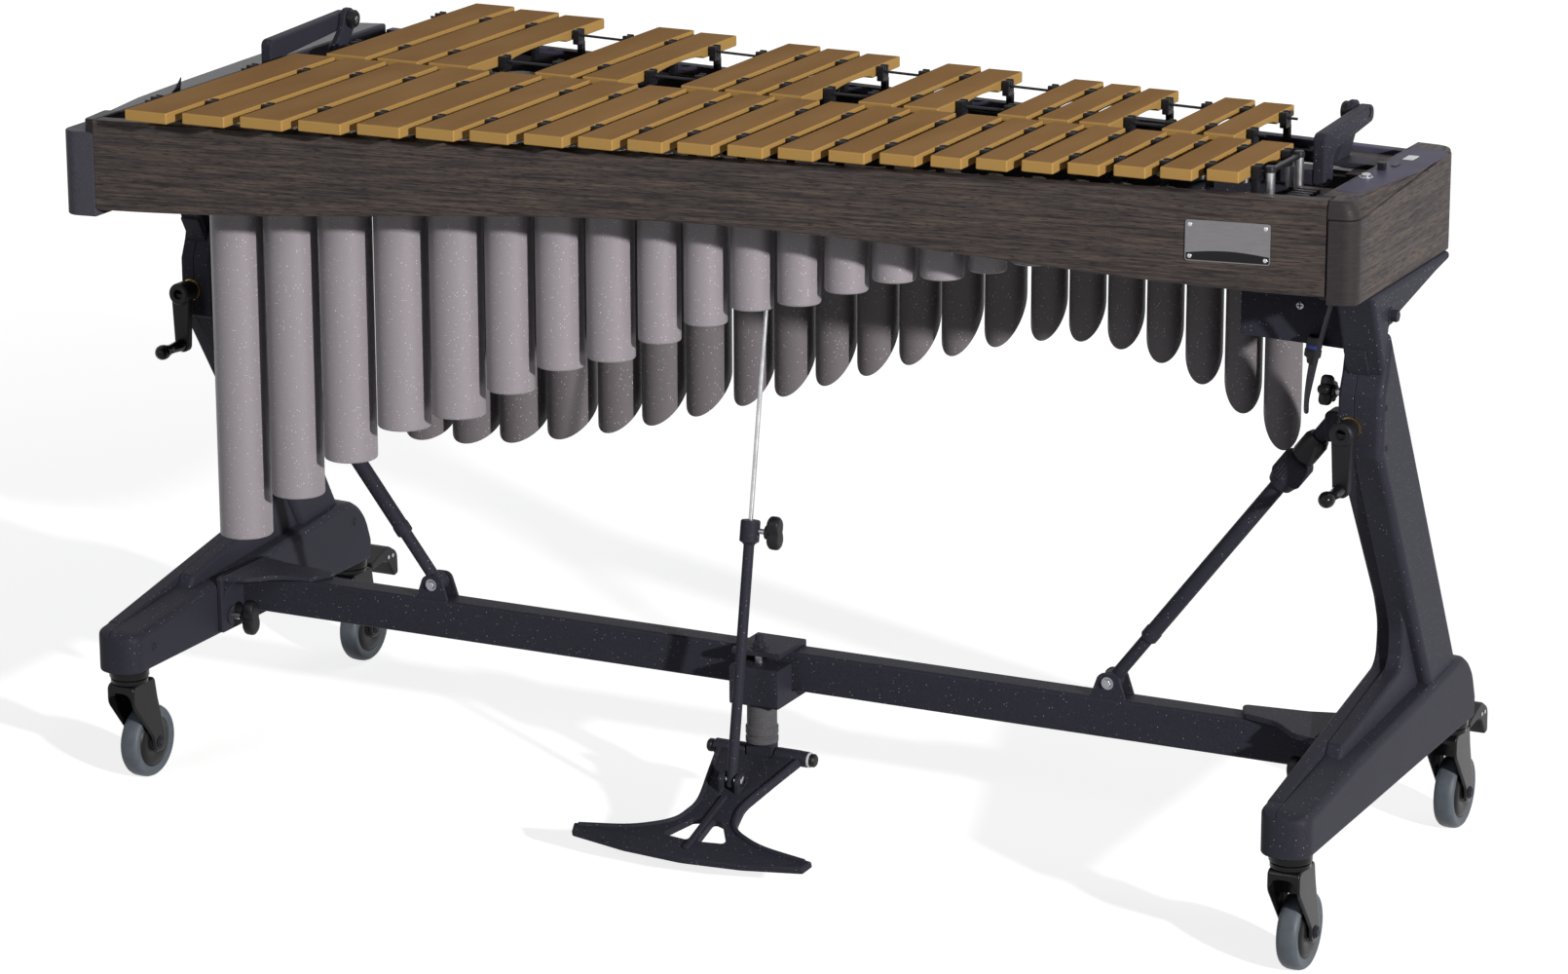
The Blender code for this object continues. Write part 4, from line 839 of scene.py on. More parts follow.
def eyelets(left, width, span):
    x, r, lip = left + width / 2, barShape["eyelet"], barShape["lip"]
    rings = []
    for back in (False, True):
        y = stillY(span, x, back)
        ends = ((left, y, cordZ), (left + width, y, cordZ))
        rings.append(hoop(r * barShape["bore"], r, -lip, width + 2 * lip, *ends, 16))
    return rings


for row, layout, span in rowSet:
    parts = []
    for left, width in layout:
        spot = trimmed(left, width)
        parts += made(gold, soundBar(*spot, span)) + made(railBlack, *eyelets(*spot, span))
    fit(row + "Bars", parts, row + "_bars")
    first, last = layout[0][0] - barShape["cordPast"], sum(layout[-1]) + barShape["cordPast"]
    stations = [first, *[left + width / 2 for left, width in layout], last]
    lines = [[(x, stillY(span, x, back), cordZ) for x in stations] for back in (False, True)]
    strings = made(cordSkin, *[sweep(line, keys["cordRadius"], 10) for line in lines])
    fit(row + "BarCords", strings, body="keyboard", slot="cable_sheath")
print("bars hung")

# post rails: a bent bar with a post beside every bar, each with a fork for the cord

postShape = dict(
    wide=0.008,
    deep=0.008,
    railTop=0.783,
    railTall=0.018,
    railSteps=48,
    headTop=0.8232,
    headHalf=0.008,
    finger=0.0042,
    fingerRound=0.0019,
    fingerDrop=0.001,
    pitch=0.0056,
    rod=0.004,
    column=(0.0028, 0.0042),
    rib=(0.0036, 0.0006),
    ribPitch=0.0028,
)
postAway = keys["cordRadius"] + gap + postShape["deep"] / 2


def postPlaces(layout):
    places = []
    for left, width in layout:
        for x in (left - keys["space"] / 2, left + width + keys["space"] / 2):
            if not places or x - places[-1] > keys["space"]:
                places.append(x)
    return places


def forkPost(x, y, out, silver):
    # y is the cord; out is the side that the column stands on; three rounded fingers hold the cord
    s = postShape
    half, finger = s["wide"] / 2, s["finger"] / 2
    middle = y + out * postAway
    black = []
    for k in (-1, 0, 1):
        at, top = y + k * s["pitch"], s["headTop"] - (s["fingerDrop"] if k == 0 else 0.0)
        tip = rect(at - finger, cordZ - 0.006, at + finger, top, 0.0, s["fingerRound"])
        black.append(slab(tip, "yz", x - half, x + half, 0.0008, 0.0008, 4, 2))
    black.append(block(x, y, half, s["headHalf"], cordZ - 0.0105, cordZ - 0.003, 0.001))
    low, high = s["railTop"] - 0.006, cordZ - 0.008
    if silver:
        rod = roundRod((x, middle, low), (x, middle, high), s["rod"], 20)
        return made(blackPlastic, *black) + made(aluminium, rod)
    black.append(block(x, middle, *s["column"], low, high, 0.0008))
    for k in (-1, 0, 1):
        black.append(block(x, middle + k * s["ribPitch"], *s["rib"], low, high, 0.0003, 1))
    return made(blackPlastic, *black)


for row, layout, span in rowSet:
    for back, place in ((False, "front"), (True, "rear")):
        s = postShape
        out, half, steps = 1 if back else -1, s["deep"] / 2, s["railSteps"]
        xs = [lowWall + gap + (highWall - lowWall - 2 * gap) * k / steps for k in range(steps + 1)]
        section = filleted(rect(-half, s["railTop"] - s["railTall"], half, s["railTop"], 0.001), 2)
        rail = loft([[(x, stillY(span, x, back) + out * postAway + a, b) for a, b in section] for x in xs])
        parts = made(coat, rail)
        for x in postPlaces(layout):
            parts += forkPost(x, stillY(span, x, back), out, row == "natural" and back)
        fit(f"{row}{place.title()}PostRail", parts, f"{row}_{place}_rail")
print("post rails set")

# resonators: turned cups in front, slant-cut tubes behind

tubeShape = dict(
    top=0.775,
    wall=0.002,
    space=0.006,
    pitch=174.61,
    soundSpeed=343.0,
    correction=0.75,
    steps=(0, 2, 4, 6, 7, 9, 11),
    sides=48,
    rim=0.0005,
    heel=0.0022,
    stripTop=0.757,
    stripTall=0.022,
    stripThick=0.003,
    stop=0.004,
    slant=(0.55, 1.55),
)
archLeft = (0.0499 - keyEnd, tubeShape["top"] - 0.439)
archPeak = (keyEnd - 0.2299, tubeShape["top"] - 0.215)
archRight = (keyEnd - 0.0219, tubeShape["top"] - 0.3)


def halfTones(index):
    return 12 * (index // 7) + tubeShape["steps"][index % 7]


def soundingLength(tones, radius):
    pitch = tubeShape["pitch"] * 2 ** (tones / 12)
    return tubeShape["soundSpeed"] / (4 * pitch) - tubeShape["correction"] * radius


def rowLine(span, x0, x1):
    y0, y1 = sum(span(x0)) / 2, sum(span(x1)) / 2
    return lambda x: y0 + (y1 - y0) * (x - x0) / (x1 - x0)


naturalLine = rowLine(naturalSpan, firstX, lastX)
accidentalLine = rowLine(accidentalSpan, firstAccX, lastAccX)


def archZ(x):
    if x < archPeak[0]:
        share = max(0.0, (x - archLeft[0]) / (archPeak[0] - archLeft[0]))
        return archLeft[1] + (archPeak[1] - archLeft[1]) * (0.5 - 0.5 * math.cos(math.pi * share))
    share = (x - archPeak[0]) / (archRight[0] - archPeak[0])
    return archPeak[1] + (archRight[1] - archPeak[1]) * share**2


# how far the ends hang below that arch, read along the row
archDrop = ((-0.7, 0.0), (-0.37, 0.0), (-0.04, 0.016), (0.06, 0.0165), (0.17, 0.011), (0.27, 0.0005))
archDrop += ((0.33, -0.0005), (0.42, 0.0093), (0.56, 0.024), (0.7, 0.038))


def hangZ(x):
    for (x0, d0), (x1, d1) in zip(archDrop, archDrop[1:]):
        if x <= x1:
            return archZ(x) - d0 - (d1 - d0) * (x - x0) / (x1 - x0)


def slantAt(x):
    share = min(1.0, max(0.0, (x + 0.5) / 0.7))
    return tubeShape["slant"][0] + (tubeShape["slant"][1] - tubeShape["slant"][0]) * share


def tubeRadius(width):
    return (width + keys["space"] - tubeShape["space"]) / 2


def cup(x, y, radius, bottom):
    s = tubeShape
    top, inner, floor = s["top"], radius - s["wall"], bottom + s["wall"]
    rim, heel = s["rim"], s["heel"]
    profile = [(0, floor), (inner - 0.002, floor), (inner, floor + 0.002), (inner, top - rim)]
    profile += [(inner + rim, top), (radius - rim, top), (radius, top - rim)]
    for k in range(5):
        turn = math.pi / 2 * k / 4
        profile.append((radius - heel + heel * math.cos(turn), bottom + heel - heel * math.sin(turn)))
    profile += [(radius * 0.5, bottom), (0, bottom)]
    return spin(profile, (x, y, 0), (x, y, 1), s["sides"])


def slantTube(x, y, radius, bottom, slope, stop):
    # open below: outer skin, slanted rim, inner skin, with a stop plate inside
    s = tubeShape
    top, rim, inner = s["top"], s["rim"], radius - s["wall"]
    steep = math.hypot(*slope)
    rings = []
    for size, z in (
        (radius, None), (radius, top - rim), (radius - rim, top),
        (inner + rim, top), (inner, top - rim), (inner, None),
    ):
        ring = []
        for turn in turns(s["sides"]):
            across, away = size * math.cos(turn), size * math.sin(turn)
            cut = bottom + radius * steep + across * slope[0] + away * slope[1]
            ring.append((x + across, y + away, cut if z is None else z))
        rings.append(ring)
    plug = roundRod((x, y, stop - s["stop"]), (x, y, stop), inner + 0.0004, s["sides"])
    return [loft(rings, True), plug]


def strip(line, radii, side):
    stations = [(lowWall + gap, radii[0][1]), *radii, (highWall - gap, radii[-1][1])]
    inside = [(x, line(x) + side * (radius - tubeShape["wall"] / 2)) for x, radius in stations]
    outside = [(x, y + side * tubeShape["stripThick"]) for x, y in inside]
    low = tubeShape["stripTop"] - tubeShape["stripTall"]
    return prism(inside + outside[::-1], "xy", low, tubeShape["stripTop"], 0.0005, 2)


parts = []
radii = []
for index, (left, width) in enumerate(naturals):
    x, radius = left + width / 2, tubeRadius(width)
    length = soundingLength(halfTones(index), radius - tubeShape["wall"])
    parts += made(champagne, cup(x, naturalLine(x), radius, tubeShape["top"] - length))
    radii.append((x, radius))
parts += made(champagne, strip(naturalLine, radii, 1))
fit("naturalTubes", parts, "natural_resonators")

parts = []
radii = []
for x, index in between:
    radius = tubeRadius(betweenWidths[index])
    bottom = hangZ(x)
    length = soundingLength(halfTones(index) + 1, radius - tubeShape["wall"])
    # the ends follow the arch along the row and rise to the back
    slope = ((hangZ(x + 0.02) - hangZ(x - 0.02)) / 0.04, slantAt(x))
    stop = max(tubeShape["top"] - length, bottom + 2 * radius * math.hypot(*slope) + tubeShape["stop"])
    parts += made(champagneShadedBack, *slantTube(x, accidentalLine(x), radius, bottom, slope, stop))
    radii.append((x, radius))
parts += made(champagneShadedBack, strip(accidentalLine, radii, -1))
fit("accidentalTubes", parts, "accidental_resonators")
print("tubes turned")

# fans: flat discs on a shaft over the tube mouths

fanShape = dict(
    above=0.0045,
    thick=0.003,
    clear=0.003,
    end=0.0009,
    shaft=0.006,
    steps=20,
    sleeve=(0.0042, 0.008),
    sleeveAt=(0.004, 0.012),
)


def fanSheet(line, places):
    s = fanShape
    half = s["shaft"] / 2
    edge = [(lowWall + s["end"], half)]
    for x, radius in places:
        size = radius - tubeShape["wall"] - s["clear"]
        start = math.asin(half / size)
        for k in range(s["steps"] + 1):
            turn = math.pi - start - (math.pi - 2 * start) * k / s["steps"]
            edge.append((x + size * math.cos(turn), size * math.sin(turn)))
    edge.append((highWall - s["end"], half))
    outline = edge + [(x, -y) for x, y in reversed(edge)]
    middle = tubeShape["top"] + s["above"]
    bm = prism(outline, "xy", middle - s["thick"] / 2, middle + s["thick"] / 2, 0.0004, 1)
    for vert in bm.verts:
        vert.co.y += line(vert.co.x)
    return bm


for row, line, layout in (("natural", naturalLine, naturals), ("accidental", accidentalLine, accidentals)):
    places = [(left + width / 2, tubeRadius(width)) for left, width in layout]
    parts = made(aluminium, fanSheet(line, places))
    radius, long = fanShape["sleeve"]
    z = tubeShape["top"] + fanShape["above"]
    for x in (lowWall + fanShape["sleeveAt"][0], highWall - fanShape["sleeveAt"][1]):
        parts += made(zinc, roundRod((x, line(x), z), (x + long, line(x + long), z), radius))
    fit(row + "Fans", parts, row + "_fan_shaft")
print("fans fitted")

# wood frame: front and rear boards, end blocks with smooth corners, control panel, name plate

wood = dict(
    frontThick=0.02,
    backThick=0.014,
    top=0.8,
    low=0.7,
    rise=0.031,
    rearDrop=0.008,
    blockDrop=0.008,
    endDeep=0.042,
    corner=0.028,
    coverTall=0.022,
    rimTall=0.0185,
    rimThin=0.0018,
    coverProud=0.003,
    steps=60,
    seam=0.0136,
    seamSpace=0.0012,
)


def boardLine(span, back, x0, x1, reach, rooms):
    side = 1 if back else -1
    base = keys["cordRadius"] + gap + postShape["deep"] + reach
    y0, y1 = (stillY(span, x, back) + side * (base + room) for x, room in zip((x0, x1), rooms))
    slope = (y1 - y0) / (x1 - x0)
    return lambda x: y0 + slope * (x - x0)


frontLine = boardLine(naturalSpan, False, firstX, lastX, wood["frontThick"], (0.0078, 0.017))
backLine = boardLine(accidentalSpan, True, firstAccX, lastAccX, wood["backThick"], (0.0035, 0.0049))


def board(line, near, far, low, top, rounding, beyond=0.0):
    # stations along the board, each a rounded section between near and far of the line
    first, last = lowWall + gap, highWall - gap + beyond
    rings = []
    for k in range(wood["steps"] + 1):
        share = k / wood["steps"]
        x = first + (last - first) * share
        section = filleted(rect(near, low(share), far, top, rounding), 4)
        rings.append([(x, line(x) + a, b) for a, b in section])
    return loft(rings)


def archedLow(share):
    return wood["low"] + wood["rise"] * math.sin(math.pi * share) ** 2


def endPlan(side, proud=0.0):
    inner = abs(lowWall if side < 0 else highWall)
    outer = inner + wood["endDeep"] + proud
    front, frontOut = (frontLine(side * x) for x in (inner, outer))
    back, backOut = (backLine(side * x) + proud for x in (inner, outer))
    r = wood["corner"]
    corners = [(outer, frontOut, r), (outer, backOut, r), (inner, back, 0)]
    if side > 0:
        # the front board runs on in front of this block, up to its moulded corner
        step, depth = inner + wood["seam"] + wood["seamSpace"], front + wood["frontThick"] + gap + 0.003
        corners += [(inner, depth, 0), (step, depth, 0), (step, frontLine(step), 0)]
    else:
        corners.append((inner, front, 0))
    return [(side * x, y) for x, y in filleted(corners, 10)]


front = board(frontLine, 0, wood["frontThick"], archedLow, wood["top"], 0.0022, wood["seam"])
fit("frontBoard", made(oakLong, front), "front_rail")
rearTop = wood["top"] - wood["rearDrop"]
rear = board(backLine, -wood["backThick"], 0, lambda s: wood["low"], rearTop - 0.0065, 0.0015)
cover = board(backLine, -wood["backThick"] - 0.0012, 0.0012, lambda s: rearTop - 0.007, rearTop, 0.0016)
fit("rearBoard", made(oakLong, rear) + made(panelPlastic, cover), "rear_rail")


def rimLow(y):
    # lower edge of the panel's rim: tallest round the front corner, thinner towards the back
    share = min(1.0, max(0.0, (y + 0.105) / 0.245))
    return wood["top"] - wood["rimTall"] + (wood["rimTall"] - wood["rimThin"]) * share


def spaced(outline, step, like=None):
    # extra points on the long edges, so that a block can bend; like lends its counts to a second outline
    like = like or outline
    out = []
    for i, (x0, y0) in enumerate(outline):
        j = (i + 1) % len(outline)
        x1, y1 = outline[j]
        count = max(1, int(math.dist(like[i], like[j]) / step))
        out += [(x0 + (x1 - x0) * k / count, y0 + (y1 - y0) * k / count) for k in range(count)]
    return out


def endBlock(side, top, finish):
    under = wood["low"] - wood["blockDrop"]
    bm = prism(spaced(endPlan(side, wood["coverProud"] if side > 0 else 0.0), 0.012), "xy", under, top)
    if side > 0:
        for vert in bm.verts:
            if vert.co.z > top - 0.001:
                vert.co.z = rimLow(vert.co.y) - wood["seamSpace"]
    return made(finish, soften(bm, 0.0018, 3, 50))


def lowRim():
    # raised rim round the low end, its outer edge set in from the block's
    x, y, top = lowWall, frontLine(lowWall), wood["top"]
    plan = [(x, y + 0.002, 0.002), (x, backLine(x) - 0.016, 0.0), (-0.697, backLine(-0.69) - 0.03, 0.016)]
    plan += [(-0.697, 0.18, 0.0), (-0.693, 0.03, 0.0), (-0.689, -0.09, 0.0), (-0.683, -0.2, 0.0)]
    plan.append((-0.664, frontLine(-0.664) + 0.004, 0.004))
    rim = slab(plan, "xy", lowTop - 0.002, top, 0.0004, 0.003, 5, 4)
    finSide = [(-0.168, top - 0.002, 0.0), (-0.146, top - 0.002, 0.0)]
    finSide += [(-0.143, top + 0.014, 0.0), (-0.154, top + 0.004, 0.004)]
    fin = slab(finSide, "yz", -0.662, -0.6604, 0.0003, 0.0003, 3, 2)
    nose = [(x + 0.001, y + 0.055, 0.001), (x - 0.018, y + 0.05, 0.004)]
    nose += [(x - 0.012, y + 0.0005, 0.006), (x + 0.001, y, 0.002)]
    front = slab(nose, "xy", lowTop - 0.002, top + 0.0006, 0.0004, 0.002, 4, 3)
    return made(rimGrey, rim) + made(blackPlastic, fin, front)


lowTop = wood["top"] - 0.014
fit("lowEndBlock", endBlock(-1, lowTop, smoothCoat) + lowRim(), "end_block_low")
fit("highEndBlock", endBlock(1, wood["top"] - wood["coverTall"] - gap, oakHigh), "end_block_high")

panelShape = dict(
    lean=0.0105,
    tuck=0.005,
    front=-0.1,
    curve=((0.0, 0.0), (0.3, 0.12), (0.6, 0.36), (0.86, 0.7), (0.96, 0.88), (1.0, 1.0)),
    display=(0.699, 0.103),
    button=(0.689, -0.006),
    post=(0.691, 0.036),
    rocker=(0.697, 0.062),
    buttonRing=((0, -0.001), (0.008, -0.001), (0.008, 0.001), (0.007, 0.0018), (0, 0.0018)),
    buttonCap=((0, 0), (0.0054, 0), (0.0054, 0.0034), (0.0044, 0.0046), (0, 0.005)),
)


def controlPanel(s):
    top = wood["top"]
    plan = endPlan(1, wood["coverProud"] - 0.0008)
    outer = spaced(plan, 0.012)
    narrow = spaced(endPlan(1, wood["coverProud"] - s["lean"]), 0.012, plan)
    # the rim leans inward over its height, most where it is tallest
    rings = []
    for rise, shift in s["curve"]:
        ring = []
        for (x0, y0), (x1, y1) in zip(outer, narrow):
            tall = top - rimLow(y0)
            share = shift * tall / wood["rimTall"]
            tuck = s["tuck"] * share * (y0 < s["front"])
            ring.append((x0 + (x1 - x0) * share, y0 + (y1 - y0) * share + tuck, rimLow(y0) + tall * rise))
        rings.append(ring)
    strip = [(0.709, -0.08, 0.01), (0.726, 0.04, 0.08), (0.7275, 0.148, 0.014)]
    strip += [(0.682, 0.16, 0.004), (0.682, -0.078, 0.004)]
    strip = slab(strip, "xy", top - 0.001, top + 0.0005, 0.0002, 0.0004, 6, 2)
    bezel = block(*s["display"], 0.0072, 0.012, top - 0.001, top + 0.0006, 0.0004)
    glass = block(*s["display"], 0.0056, 0.0104, top, top + 0.0011, 0.0003)
    x, y = s["button"]
    ring, cap = (spin(s[k], (x, y, top), (x, y, top + 1), 28) for k in ("buttonRing", "buttonCap"))
    post = block(*s["post"], 0.004, 0.004, top - 0.001, top + 0.0085, 0.0012, 3)
    rocker = block(*s["rocker"], 0.003, 0.0075, top - 0.001, top + 0.0016, 0.0008)
    parts = made(oakHigh, loft(rings)) + made(panelPlastic, strip) + made(blackPlastic, bezel)
    parts += made(displayWhite, glass) + made(zinc, ring) + made(steel, cap)
    return parts + made(blackPlastic, post, rocker)


fit("controlPanel", controlPanel(panelShape), "control_panel")

wellShape = dict(
    x=0.6165,
    radius=0.0052,
    foot=0.772,
    top=0.8165,
    cap=0.006,
    link=0.003,
    board=(0.7836, 0.7868),
    boardEdge=0.002,
    ribs=5,
)


def wellFittings(s):
    # at the high end: posts that anchor the front row's cords with a link between them, and two cover boards
    x, top, cap, (low, high) = s["x"], s["top"], s["cap"], s["board"]
    near, far = (stillY(naturalSpan, x, back) for back in (False, True))
    parts = []
    for y in (near, far):
        parts += made(aluminium, roundRod((x, y, s["foot"]), (x, y, top), s["radius"], 28))
        profile = ((0, 0), (cap, 0), (cap, 0.004), (cap * 0.8, 0.0062), (0, 0.0068))
        parts += made(blackPlastic, spin(profile, (x, y, top - 0.0005), (x, y, 1), 28))
    link = rect(x - s["link"], near, x + s["link"], far, 0.0)
    parts += made(blackPlastic, slab(link, "xy", top - 0.0015, top + 0.003, 0.0008, 0.0012, 3, 3))
    right = highWall - gap - 0.004
    front = [(0.622, frontLine(0.622) + 0.04), (right, frontLine(right) + 0.044)]
    front += [(right, -0.012), (0.622, -0.012)]
    rear = [(0.642, 0.06), (right, 0.06), (right, backLine(right) - 0.018)]
    rear += [(0.6, backLine(0.6) - 0.018), (0.6, 0.13), (0.642, 0.1)]
    for plan in (front, rear):
        corners = [(*corner, s["boardEdge"]) for corner in plan]
        parts += made(oakLong, slab(corners, "xy", low, high, 0.0004, 0.0008, 3, 2))
    for k in range(s["ribs"]):
        y = frontLine(0.64) + 0.052 + 0.01 * k
        rib = brick((0.628, y, high - 0.0005), (0.652, y + 0.0055, high + 0.0045), 0.0008, 2)
        parts += made(blackPlastic, rib)
    return parts


fit("wellFittings", wellFittings(wellShape), body="keyboard", slot="black_plastic")

plateShape = dict(
    wide=0.088,
    tall=0.043,
    thick=0.0012,
    x=keyEnd - 0.0079,
    z=wood["low"] + 0.051,
    edge=0.0012,
    band=(0.0085, 0.0035),
    screw=0.0022,
    screwIn=0.005,
)


def namePlate(s):
    # a bare plate: silver, with a dark curved band along its lower edge and four screws
    x0, x1 = s["x"] - s["wide"] / 2, s["x"] + s["wide"] / 2
    z0, z1 = s["z"] - s["tall"] / 2, s["z"] + s["tall"] / 2
    edge, r, inside, face = s["edge"], s["screw"], s["screwIn"], -s["thick"] - gap
    sheet = prism(filleted(rect(x0, z0, x1, z1, 0.003), 4), "xz", face, -gap, 0.0003, 2)
    left, right, low = x0 + edge, x1 - edge, z0 + edge
    band = [(left, low + 0.001), (left + 0.001, low), (right - 0.001, low), (right, low + 0.001)]
    for k in range(17):
        t = k / 16
        rise = s["band"][0] + s["band"][1] * math.sin(math.pi * t)
        band.append((right - (s["wide"] - 2 * edge) * t, z0 + rise))
    bandSheet = prism(band, "xz", face - 0.00015, -s["thick"] * 0.5)
    parts = made(plateSilver, sheet) + made(railBlack, bandSheet)
    head = ((0, -0.0003), (r, -0.0003), (r, 0.0002), (r * 0.7, 0.0007), (0, 0.0008))
    for x in (x0 + inside, x1 - inside):
        for z in (z0 + inside, z1 - inside):
            parts += made(steel, spin(head, (x, face, z), (x, face - 1, z), 16))
    for bm, _ in parts:
        for vert in bm.verts:
            vert.co.y += frontLine(vert.co.x)
    return parts


fit("namePlate", namePlate(plateShape), "name_plate")
print("frame boards fitted")

# stand: both legs are the same casting of two half shells, the low one shifted, not mirrored

legShape = dict(
    x=0.707,
    half=0.028,
    nose=0.022,
    noseCurve=2.6,
    noseDrop=0.004,
    ridge=0.7155,
    inner=0.679,
    outer=0.722,
    highOuter=0.729,
    seam=0.697,
    seamSpace=0.0004,
    skin=0.0006,
    under=0.14,
    toe=-0.255,
    heel=(0.245, 0.25, 0.255, 0.26, 0.264, 0.268, 0.271),
    lean=30,
    tenonPoint=(-0.0148, 0.592),
    tenon=(0.024, 0.03),
    tenonBack=0.009,
    screws=((-0.212, 0.164), (0.236, 0.196)),
    rivets=((-0.034, 0.566), (-0.03, 0.522)),
    rivet=((0, -0.0006), (0.0034, -0.0006), (0.0034, 0.0004), (0.0022, 0.0016), (0, 0.0019)),
)
legSide = (
    (-0.15, 0.146, 0.0),
    (0.2635, 0.146, 0.004),
    (0.2635, 0.199, 0.028),
    (0.2176, 0.228, 0.02),
    (-0.024, 0.648, 0.003),
    (-0.036, 0.6, 0.01),
    (-0.045, 0.579, 0.005),
    (-0.045, 0.512, 0.004),
    (-0.0405, 0.51, 0.004),
    (0.07, 0.3235, 0.12),
    (0.0855, 0.29, 0.05),
    (0.0835, 0.2495, 0.02),
    (-0.095, 0.2155, 0.008),
    (-0.104, 0.203, 0.004),
    (-0.15, 0.196, 0.0),
)
# the flat half runs straight down to the toe; the full half's post stands straight on the foot
flatSide = ((-0.225, 0.146, 0.0), *legSide[1:9], (0.082, 0.3235, 0.12))
flatSide += ((0.0965, 0.29, 0.05), (0.0935, 0.248, 0.02), (-0.225, 0.19, 0.004))
postSide = ((0.134, 0.146, 0.0), *legSide[1:9], (0.134, 0.2155, 0.002))
footTop = ((-0.255, 0.044, 0.046), (-0.103, 0.06, 0.064), (0.1, 0.0735, 0.0755), (0.215, 0.083, 0.084))
footTop += ((0.238, 0.08, 0.081), (0.252, 0.069, 0.07), (0.262, 0.056, 0.057), (0.271, 0.032, 0.033))
legShift = -2 * legShape["x"]


def footLevels(y):
    s = legShape
    for (y0, a0, b0), (y1, a1, b1) in zip(footTop, footTop[1:]):
        if y <= y1:
            t = max(0.0, (y - y0) / (y1 - y0))
            return s["under"] + a0 + (a1 - a0) * t, s["under"] + b0 + (b1 - b0) * t
    return s["under"] + footTop[-1][1], s["under"] + footTop[-1][2]


def foot(full):
    s = legShape
    stations = [s["toe"] + s["nose"] * (1 - math.cos(math.pi / 2 * k / 12)) for k in range(13)]
    stations += [s["toe"] + s["nose"] + 0.012 * k for k in range(1, 40)]
    stations = [y for y in stations if y < 0.24] + list(s["heel"])
    under, curve = s["under"], s["noseCurve"]
    rings = []
    for y in stations:
        nose = max(0.0, 1 - (y - s["toe"]) / s["nose"])
        pinch = max(0.04, (1 - nose**curve) ** (1 / curve))
        flare, ridge = footLevels(y)
        if full:
            seam, far = s["seam"] + s["seamSpace"] / 2, s["x"] + s["half"]
            corners = [(seam, under, 0.0004), (far, under, 0.004), (far, flare, 0.0085), (seam, ridge, 0.001)]
        else:
            seam, near = s["seam"] - s["seamSpace"] / 2, s["inner"] + s["skin"]
            corners = [(near, under, 0.003), (seam, under, 0.0004)]
            corners += [(seam, ridge, 0.0008), (near, ridge, 0.0045)]
        # the nose also rounds over at its top
        drop = s["noseDrop"] * nose**3
        ring = []
        for x, z in filleted(corners, 5, True):
            lowered = z - drop * (z - under) / (ridge - under)
            ring.append((s["x"] + (x - s["x"]) * pinch, y, lowered))
        rings.append(ring)
    return loft(rings)


def leanBar(low, high, wide, deep, rounding=0.0):
    s = legShape
    bm = block(0, 0, wide / 2, deep / 2, low, high, rounding)
    at = Matrix.Translation((s["x"] - s["tenonBack"], *s["tenonPoint"]))
    return placed(bm, at @ Matrix.Rotation(math.radians(s["lean"]), 4, "X"))


def screwHead(at, way, radius, tall, finish):
    # a domed head; the cross recess is not cut but drawn as a black cross set into the dome and standing just
    # proud of it, painted shade for the hollow
    profile = [(0, -0.0006), (radius, -0.0006), (radius, tall * 0.25)]
    profile += [(radius * 0.86, tall * 0.7), (radius * 0.5, tall), (0, tall)]
    head = spin(profile, at, Vector(at) + Vector(way), 20)
    arm, long = radius * 0.16, radius * 0.62
    cross = [(arm, arm), (arm, long), (-arm, long), (-arm, arm), (-long, arm), (-long, -arm)]
    cross += [(-a, -b) for a, b in cross]
    recessShade = placed(prism(cross, "xy", tall * 0.55, tall * 1.04), facing(at, way))
    return made(finish, head) + made(railBlack, recessShade)


def hexBolt(at, way, radius, tall, finish):
    corners = [(radius * math.cos(turn), radius * math.sin(turn), 0.0002) for turn in turns(6)]
    head = placed(slab(corners, "xy", -0.0004, tall, 0.0002, radius * 0.12, 2, 3), facing(at, way))
    washer = disc(radius * 1.35, -0.0004, 0.001, at, Vector(at) + Vector(way), 24)
    return made(finish, head, washer)


for side, place in sides:
    s = legShape
    shift = 0 if side > 0 else legShift
    room = [size + 2 * gap for size in s["tenon"]]
    seamLow, seamHigh = (s["seam"] + way * s["seamSpace"] / 2 for way in (-1, 1))
    outer = s["highOuter" if side > 0 else "outer"]
    flat, ridge, post = (
        carved(slab(outline, "yz", low, high, *rounding), leanBar(-0.249, 0.1, *room))
        for outline, low, high, rounding in (
            (flatSide, s["inner"], seamLow, (0.0045, 0.0008)),
            (inset(legSide, s["skin"]), seamHigh, s["ridge"], (0.0008, 0.005)),
            (postSide, seamHigh, outer, (0.0008, 0.0085)),
        )
    )
    flatParts = made(coat, flat, foot(False))
    fullParts = made(coat, ridge, post, foot(True))
    # screws in the side that faces the pedal, rivets on the guide
    for y, z in s["screws"]:
        if side > 0:
            flatParts += screwHead((s["inner"], y, z), (-1, 0, 0), 0.005, 0.0018, coat)
        else:
            fullParts += screwHead((s["x"] + s["half"], y, z), (1, 0, 0), 0.005, 0.0018, coat)
    for y, z in s["rivets"]:
        flatParts += made(coat, spin(s["rivet"], (s["inner"], y, z), (s["inner"] - 1, y, z), 20))
        fullParts += made(coat, spin(s["rivet"], (outer, y, z), (outer + 1, y, z), 20))
    names = ("inner", "outer") if side > 0 else ("outer", "inner")
    for parts, name in zip((flatParts, fullParts), names):
        fit(f"legShell.{name}.{place}", moved(parts, shift), f"leg_{name}_shell_{place}")

# heads: gusset under the frame, wing plate for the tubes, tenon that slides in the post

